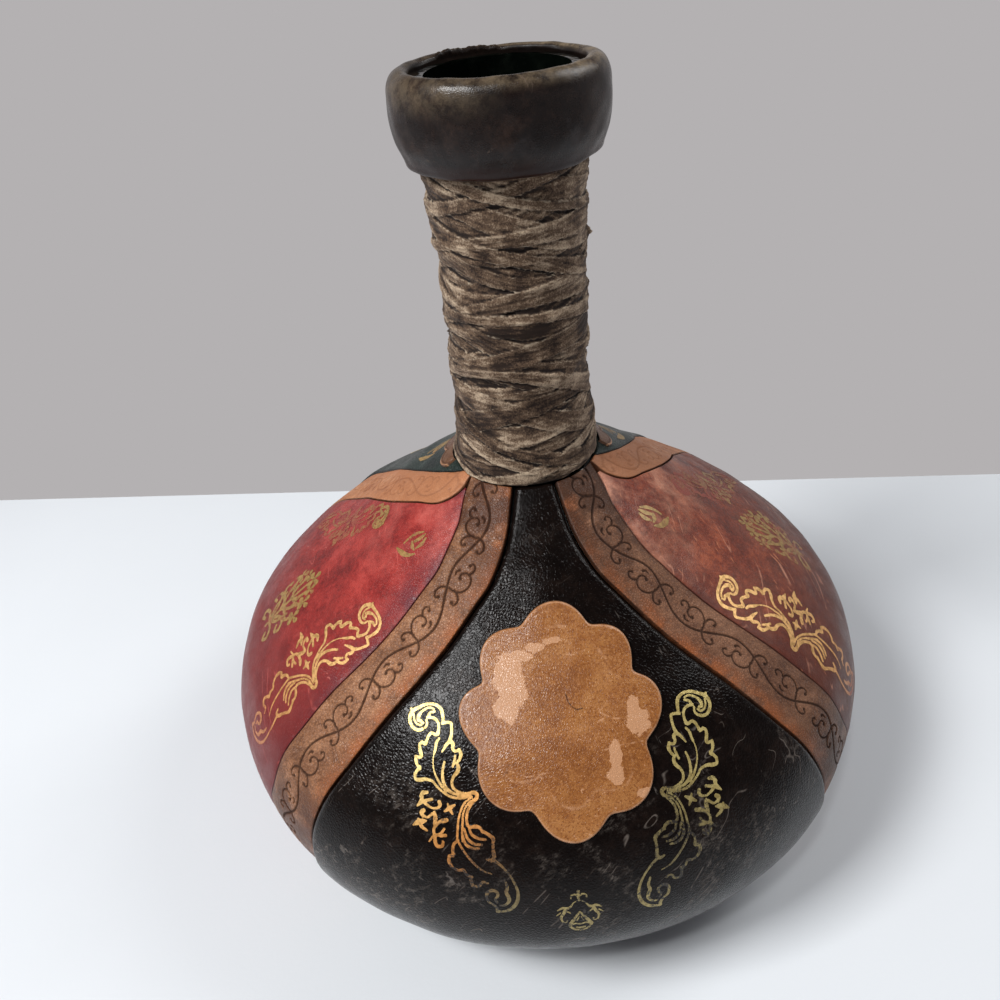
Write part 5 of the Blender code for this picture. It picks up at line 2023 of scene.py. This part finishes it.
@dataclass
class Collar:
    """Leather collar moulded over the lip, slightly dented, with a torn edge at the back of the mouth."""

    foot: float
    height: float
    radius: float
    mouth: float = MOUTH_RADIUS + 0.8
    columns: int = 320
    rows: int = 150
    dent: float = 0.22
    back_drop: float = 0.9
    torn_from: float = 172.0
    torn_to: float = 222.0
    torn_height: float = 0.9
    hidden_radius: float = 16.0

    def build(self) -> Piece:
        """Makes the collar in place of its CAD node.

        Returns:
            The collar.
        """
        reach = self.radius - self.mouth
        outline = Outline(
            [(self.mouth + reach * out, self.foot + self.height * up) for out, up in COLLAR_SHARES])
        along = np.linspace(0.0, outline.length, self.rows)[:, None]
        turn = np.linspace(0.0, TAU, self.columns, endpoint=False)
        radius, height = outline.at(along + 0 * turn)
        spots = round_axis(radius, turn, height)
        lift = self.dent * Ripple(15.0, 5).at(spots) + 0.10 * Ripple(5.0, 6).at(spots)
        radius, height = outline.at(along + 0 * turn, lift)
        share = (height - self.foot) / self.height
        back = 0.5 - 0.5 * np.cos(turn)
        height = height - (
            self.back_drop * back * rise(share, 0.5, 1.0) * rise(radius, self.mouth - 0.4, self.mouth + 1.2)
        )
        degrees = np.degrees(turn)
        torn = rise(degrees, self.torn_from, self.torn_from + 5)
        torn = torn * rise(degrees, self.torn_to, self.torn_to - 5)
        ragged = 0.7 + 0.16 * np.sin(turn * 17 + 2) + 0.10 * np.sin(turn * 43 + 1) + 0.08 * np.sin(turn * 97)
        inner = rise(radius, self.mouth - 0.5, self.mouth + 0.1)
        inner = inner * rise(radius, self.mouth + 1.5, self.mouth + 0.8) * rise(share, 0.85, 0.9)
        height = height + self.torn_height * torn * ragged * inner
        points = round_axis(radius, turn, height)
        under = points[0] * (self.hidden_radius / radius[0])[:, None]
        under[:, 2] = points[0, :, 2] + 0.2
        points = np.concatenate([under[None], points])[::-1]
        # Rim mask: khaki wear on the rim, more on the right, and a patch on the left front of the upper swell
        # that is partly a painted highlight
        rim = rise(share, 0.84, 0.99) * rise(radius, self.mouth, self.mouth + 1.0)
        rim = rim * (0.65 + 0.35 * np.sin(turn))
        rim = np.maximum(rim, 0.4 * rise(share, 0.58, 0.84) * rise(np.cos(turn + 1.0), 0.5, 0.95))
        # Painted shade: the inside of the mouth is darkened to near black and dulled; the torn flap's top is
        # black leather
        dark = np.maximum(torn * rise(share, 1.0, 1.06), rise(radius, self.mouth + 0.4, self.mouth - 0.2))
        layers = {"edge": np.full_like(share, AWAY), "tool": dark, "front": share, "rim": rim}
        layers = {layer: np.concatenate([values[:1], values])[::-1] for layer, values in layers.items()}
        return add_piece(
            "collar_leather_cover", points, grid_faces(*points.shape[:2], around=True),
            COLLAR_BROWN.material(), ["collar_cover"], layers,
        )


@dataclass
class BaseDisc:
    """Leather disc that closes the base, with a rounded edge and slight dents."""

    radius: float
    thickness: float
    clearance: float = 0.12
    rings: int = 60
    rays: int = 240

    def build(self) -> Piece:
        """Makes the disc in place of its CAD node.

        Returns:
            The disc.
        """
        angle = np.linspace(0.0, TAU, self.rays, endpoint=False)
        radial = np.r_[np.linspace(1.0, self.radius - 1.2, self.rings),
                       self.radius - np.array([0.8, 0.4, 0.12, 0.0, 0.0])]
        height = np.r_[np.zeros(self.rings), 0.04, 0.2, 0.55, 1.0, self.thickness]
        spots = round_axis(radial[:, None], angle, height[:, None] + 0 * angle)
        spots[..., 2] += self.clearance + 0.1 * Ripple(14.0, 8).at(spots)
        hub = len(radial) * self.rays
        faces = np.concatenate(
            [grid_faces(*spots.shape[:2], around=True, flip=True), fan(hub, self.rays, True)])
        spots = np.concatenate([spots.reshape(-1, 3), [[0.0, 0.0, self.clearance]]])
        away = np.full(len(spots), AWAY)
        return add_piece(
            "base_disc_leather", spots, faces, BASE_BROWN.material(), ["base_disc"],
            {"edge": away, "tool": 0 * away, "front": away},
        )


BASE_BROWN = Leather(
    "base_sole_leather", tint(40, 28, 22), tint(56, 40, 32), tint(74, 54, 42), tint(20, 13, 10),
    grain=0.7, grain_depth=0.06, rough=(0.5, 0.7), scuff=tint(120, 100, 82), scuff_start=0.6,
)


class HiddenParts:
    """CAD parts that stay as they are and get their finishes: the glass, the sleeve and the packing."""

    def build(self) -> None:
        """Dresses each part."""
        self.dress("glass_bottle", self.glass())
        self.dress("neck_sleeve", Leather(
            "smooth_sleeve_leather", tint(30, 22, 20), tint(44, 34, 31), tint(58, 46, 42), tint(16, 11, 10),
            grain=0.5, grain_depth=0.04,
        ).material())
        self.dress("collar_packing", Leather(
            "rough_packing_leather", tint(96, 70, 50), tint(124, 94, 68), tint(150, 118, 88),
            tint(50, 34, 24), grain=0.9, grain_depth=0.15, rough=(0.8, 0.95),
        ).material())

    @staticmethod
    def dress(node: str, material: Material) -> None:
        """Puts a material on a CAD part."""
        for material_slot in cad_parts[node].material_slots:
            material_slot.material = material

    @staticmethod
    def glass() -> Material:
        """Dark green bottle glass with a dusty film and a faint ripple.

        Returns:
            The material.
        """
        graph = Graph("dark_green_bottle_glass")
        film = graph.cloud(7.0, 5, 0.65, 0.45, 0.7)
        graph.set(
            Base_Color=graph.mix(film, tint(4, 7, 5), tint(12, 16, 12)), Transmission_Weight=0.1, IOR=1.52,
            Roughness=graph.remap(film, 0.0, 1.0, 0.06, 0.2), Normal=graph.bump(graph.noise(6.0, 2), 0.25),
        )
        return graph.material


# Studio


@dataclass
class Studio:
    """Pale table, pale wall, soft lamps and the camera."""

    table_edge: tuple[tuple[float, float], tuple[float, float]] = ((-0.202, 0.182), (0.177, 0.121))
    table_reach: float = 1.6
    wall: Colour = tint(180, 177, 178)
    table: Colour = tint(226, 230, 234)
    lens: float = 31.54
    ceiling: Colour = tint(86, 86, 90)
    shaded_table: Colour = tint(166, 168, 172)
    lamps: tuple[tuple[str, tuple[float, float, float], float, float], ...] = (
        ("window_lamp", (-0.68, -0.30, 0.95), 0.36, 13.0),
        ("ceiling_lamp", (-0.25, -0.53, 1.15), 0.08, 1.9),
        ("fill_lamp", (0.80, 0.20, 0.90), 0.5, 4.8),
    )
    target: tuple[float, float, float] = (0.0, 0.0, 0.1)
    viewpoint: tuple[tuple[float, float, float, float], ...] = (
        (0.9927, 0.1185, -0.0236, -0.0153), (-0.0886, 0.5814, -0.8088, -0.2134),
        (-0.0822, 0.8049, 0.5876, 0.2561), (0.0, 0.0, 0.0, 1.0),
    )

    def build(self) -> None:
        """Sets the stage, the lamps and the camera."""
        self.lay_table()
        self.light_world()
        for name, place, size, power in self.lamps:
            self.lamp(name, place, size, power)
        self.aim_camera()

    def lay_table(self) -> None:
        """Table top that ends in a straight line behind the bottle."""
        start, end = np.array(self.table_edge)
        heading = (end - start) / np.linalg.norm(end - start)
        inward = np.array([heading[1], -heading[0]])
        middle = (start + end) / 2
        corners = [
            middle - heading * self.table_reach,
            middle - heading * self.table_reach + inward * 2 * self.table_reach,
            middle + heading * self.table_reach + inward * 2 * self.table_reach,
            middle + heading * self.table_reach,
        ]
        mesh = bpy.data.meshes.new("table_top")
        mesh.from_pydata([(x, y, 0.0) for x, y in corners], [], [(0, 1, 2, 3)])
        graph = Graph("pale_table")
        shade = graph.noise(60.0, 3)
        away = graph.node("ShaderNodeVectorMath", {0: graph.place}, operation="LENGTH").outputs["Value"]
        near = graph.mix(shade, self.table, tuple(0.96 * part for part in self.table[:3]) + (1.0,))
        graph.set(
            Base_Color=graph.mix(graph.remap(away, 0.26, 0.75), near, self.shaded_table),
            Roughness=0.55, Normal=graph.bump(graph.noise(1.5, 3), 0.03),
        )
        mesh.materials.append(graph.material)
        top = bpy.data.objects.new("table_top", mesh)
        bpy.context.scene.collection.objects.link(top)

    def light_world(self) -> None:
        """Even light from all round, seen as a pale wall."""
        world = bpy.data.worlds.new("pale_room")
        bpy.context.scene.world = world
        world.use_nodes = True
        nodes, links = world.node_tree.nodes, world.node_tree.links
        heading = nodes.new("ShaderNodeTexCoord").outputs["Generated"]
        height = nodes.new("ShaderNodeSeparateXYZ")
        links.new(heading, height.inputs[0])
        shades = nodes.new("ShaderNodeValToRGB")
        shades.color_ramp.interpolation = "EASE"
        links.new(height.outputs["Z"], shades.inputs[0])
        shades.color_ramp.elements[0].position, shades.color_ramp.elements[0].color = 0.05, self.wall
        shades.color_ramp.elements[1].position, shades.color_ramp.elements[1].color = 0.55, self.ceiling
        links.new(shades.outputs["Color"], nodes["Background"].inputs["Color"])

    def lamp(self, name: str, place: tuple[float, float, float], size: float, power: float) -> None:
        """Square lamp turned towards the bottle.

        Args:
            name: Name of the lamp.
            place: Where it hangs.
            size: Length of a side.
            power: Watts.
        """
        light = bpy.data.lights.new(name, "AREA")
        light.size, light.energy = size, power
        lamp = bpy.data.objects.new(name, light)
        bpy.context.scene.collection.objects.link(lamp)
        lamp.location = place
        lamp.rotation_euler = (lamp.location - Vector(self.target)).to_track_quat("Z", "Y").to_euler()

    def aim_camera(self) -> None:
        """Camera at the photograph's place and angle."""
        data = bpy.data.cameras.new("photo_camera")
        data.lens, data.sensor_width, data.sensor_fit = self.lens, 36.0, "HORIZONTAL"
        camera = bpy.data.objects.new("photo_camera", data)
        bpy.context.scene.collection.objects.link(camera)
        camera.matrix_world = Matrix(self.viewpoint)
        bpy.context.scene.camera = camera


@dataclass
class LeatherBottle:
    """The whole bottle."""

    pieces: dict[str, SkinPiece] = field(default_factory=named_pieces)

    def parts(self) -> list:
        """All sub-assemblies, from the skin outwards.

        Returns:
            Parts that each have a build method.
        """
        front, back = self.pieces["front_panel"], self.pieces["back_panel"]
        low, high = measured("collar_cover")
        disc_high = measured("base_disc")[1]
        return [
            *self.pieces.values(), *stamps(self.pieces),
            Medallion("front_medallion", front, 61.0, math.radians(-1.75)),
            Medallion("back_medallion", back, 61.0, math.pi,
                      patches=((9.0, 4.0, 3.0, 5.0), (-12.0, -9.0, 4.0, 3.0))),
            NeckTab(back), NeckWrap(), Collar(low[2], high[2] - low[2], high[0]),
            BaseDisc(disc_high[0], disc_high[2]), HiddenParts(),
        ]

    def build(self) -> None:
        """Builds each part."""
        for part in self.parts():
            part.build()


def main() -> None:
    """Builds the bottle in its studio."""
    logging.basicConfig(level=logging.INFO, format="%(name)s: %(message)s")
    LeatherBottle().build()
    Studio().build()
    bpy.context.scene.view_settings.view_transform = "Standard"
    bpy.context.view_layer.update()


if __name__ == "__main__":
    main()
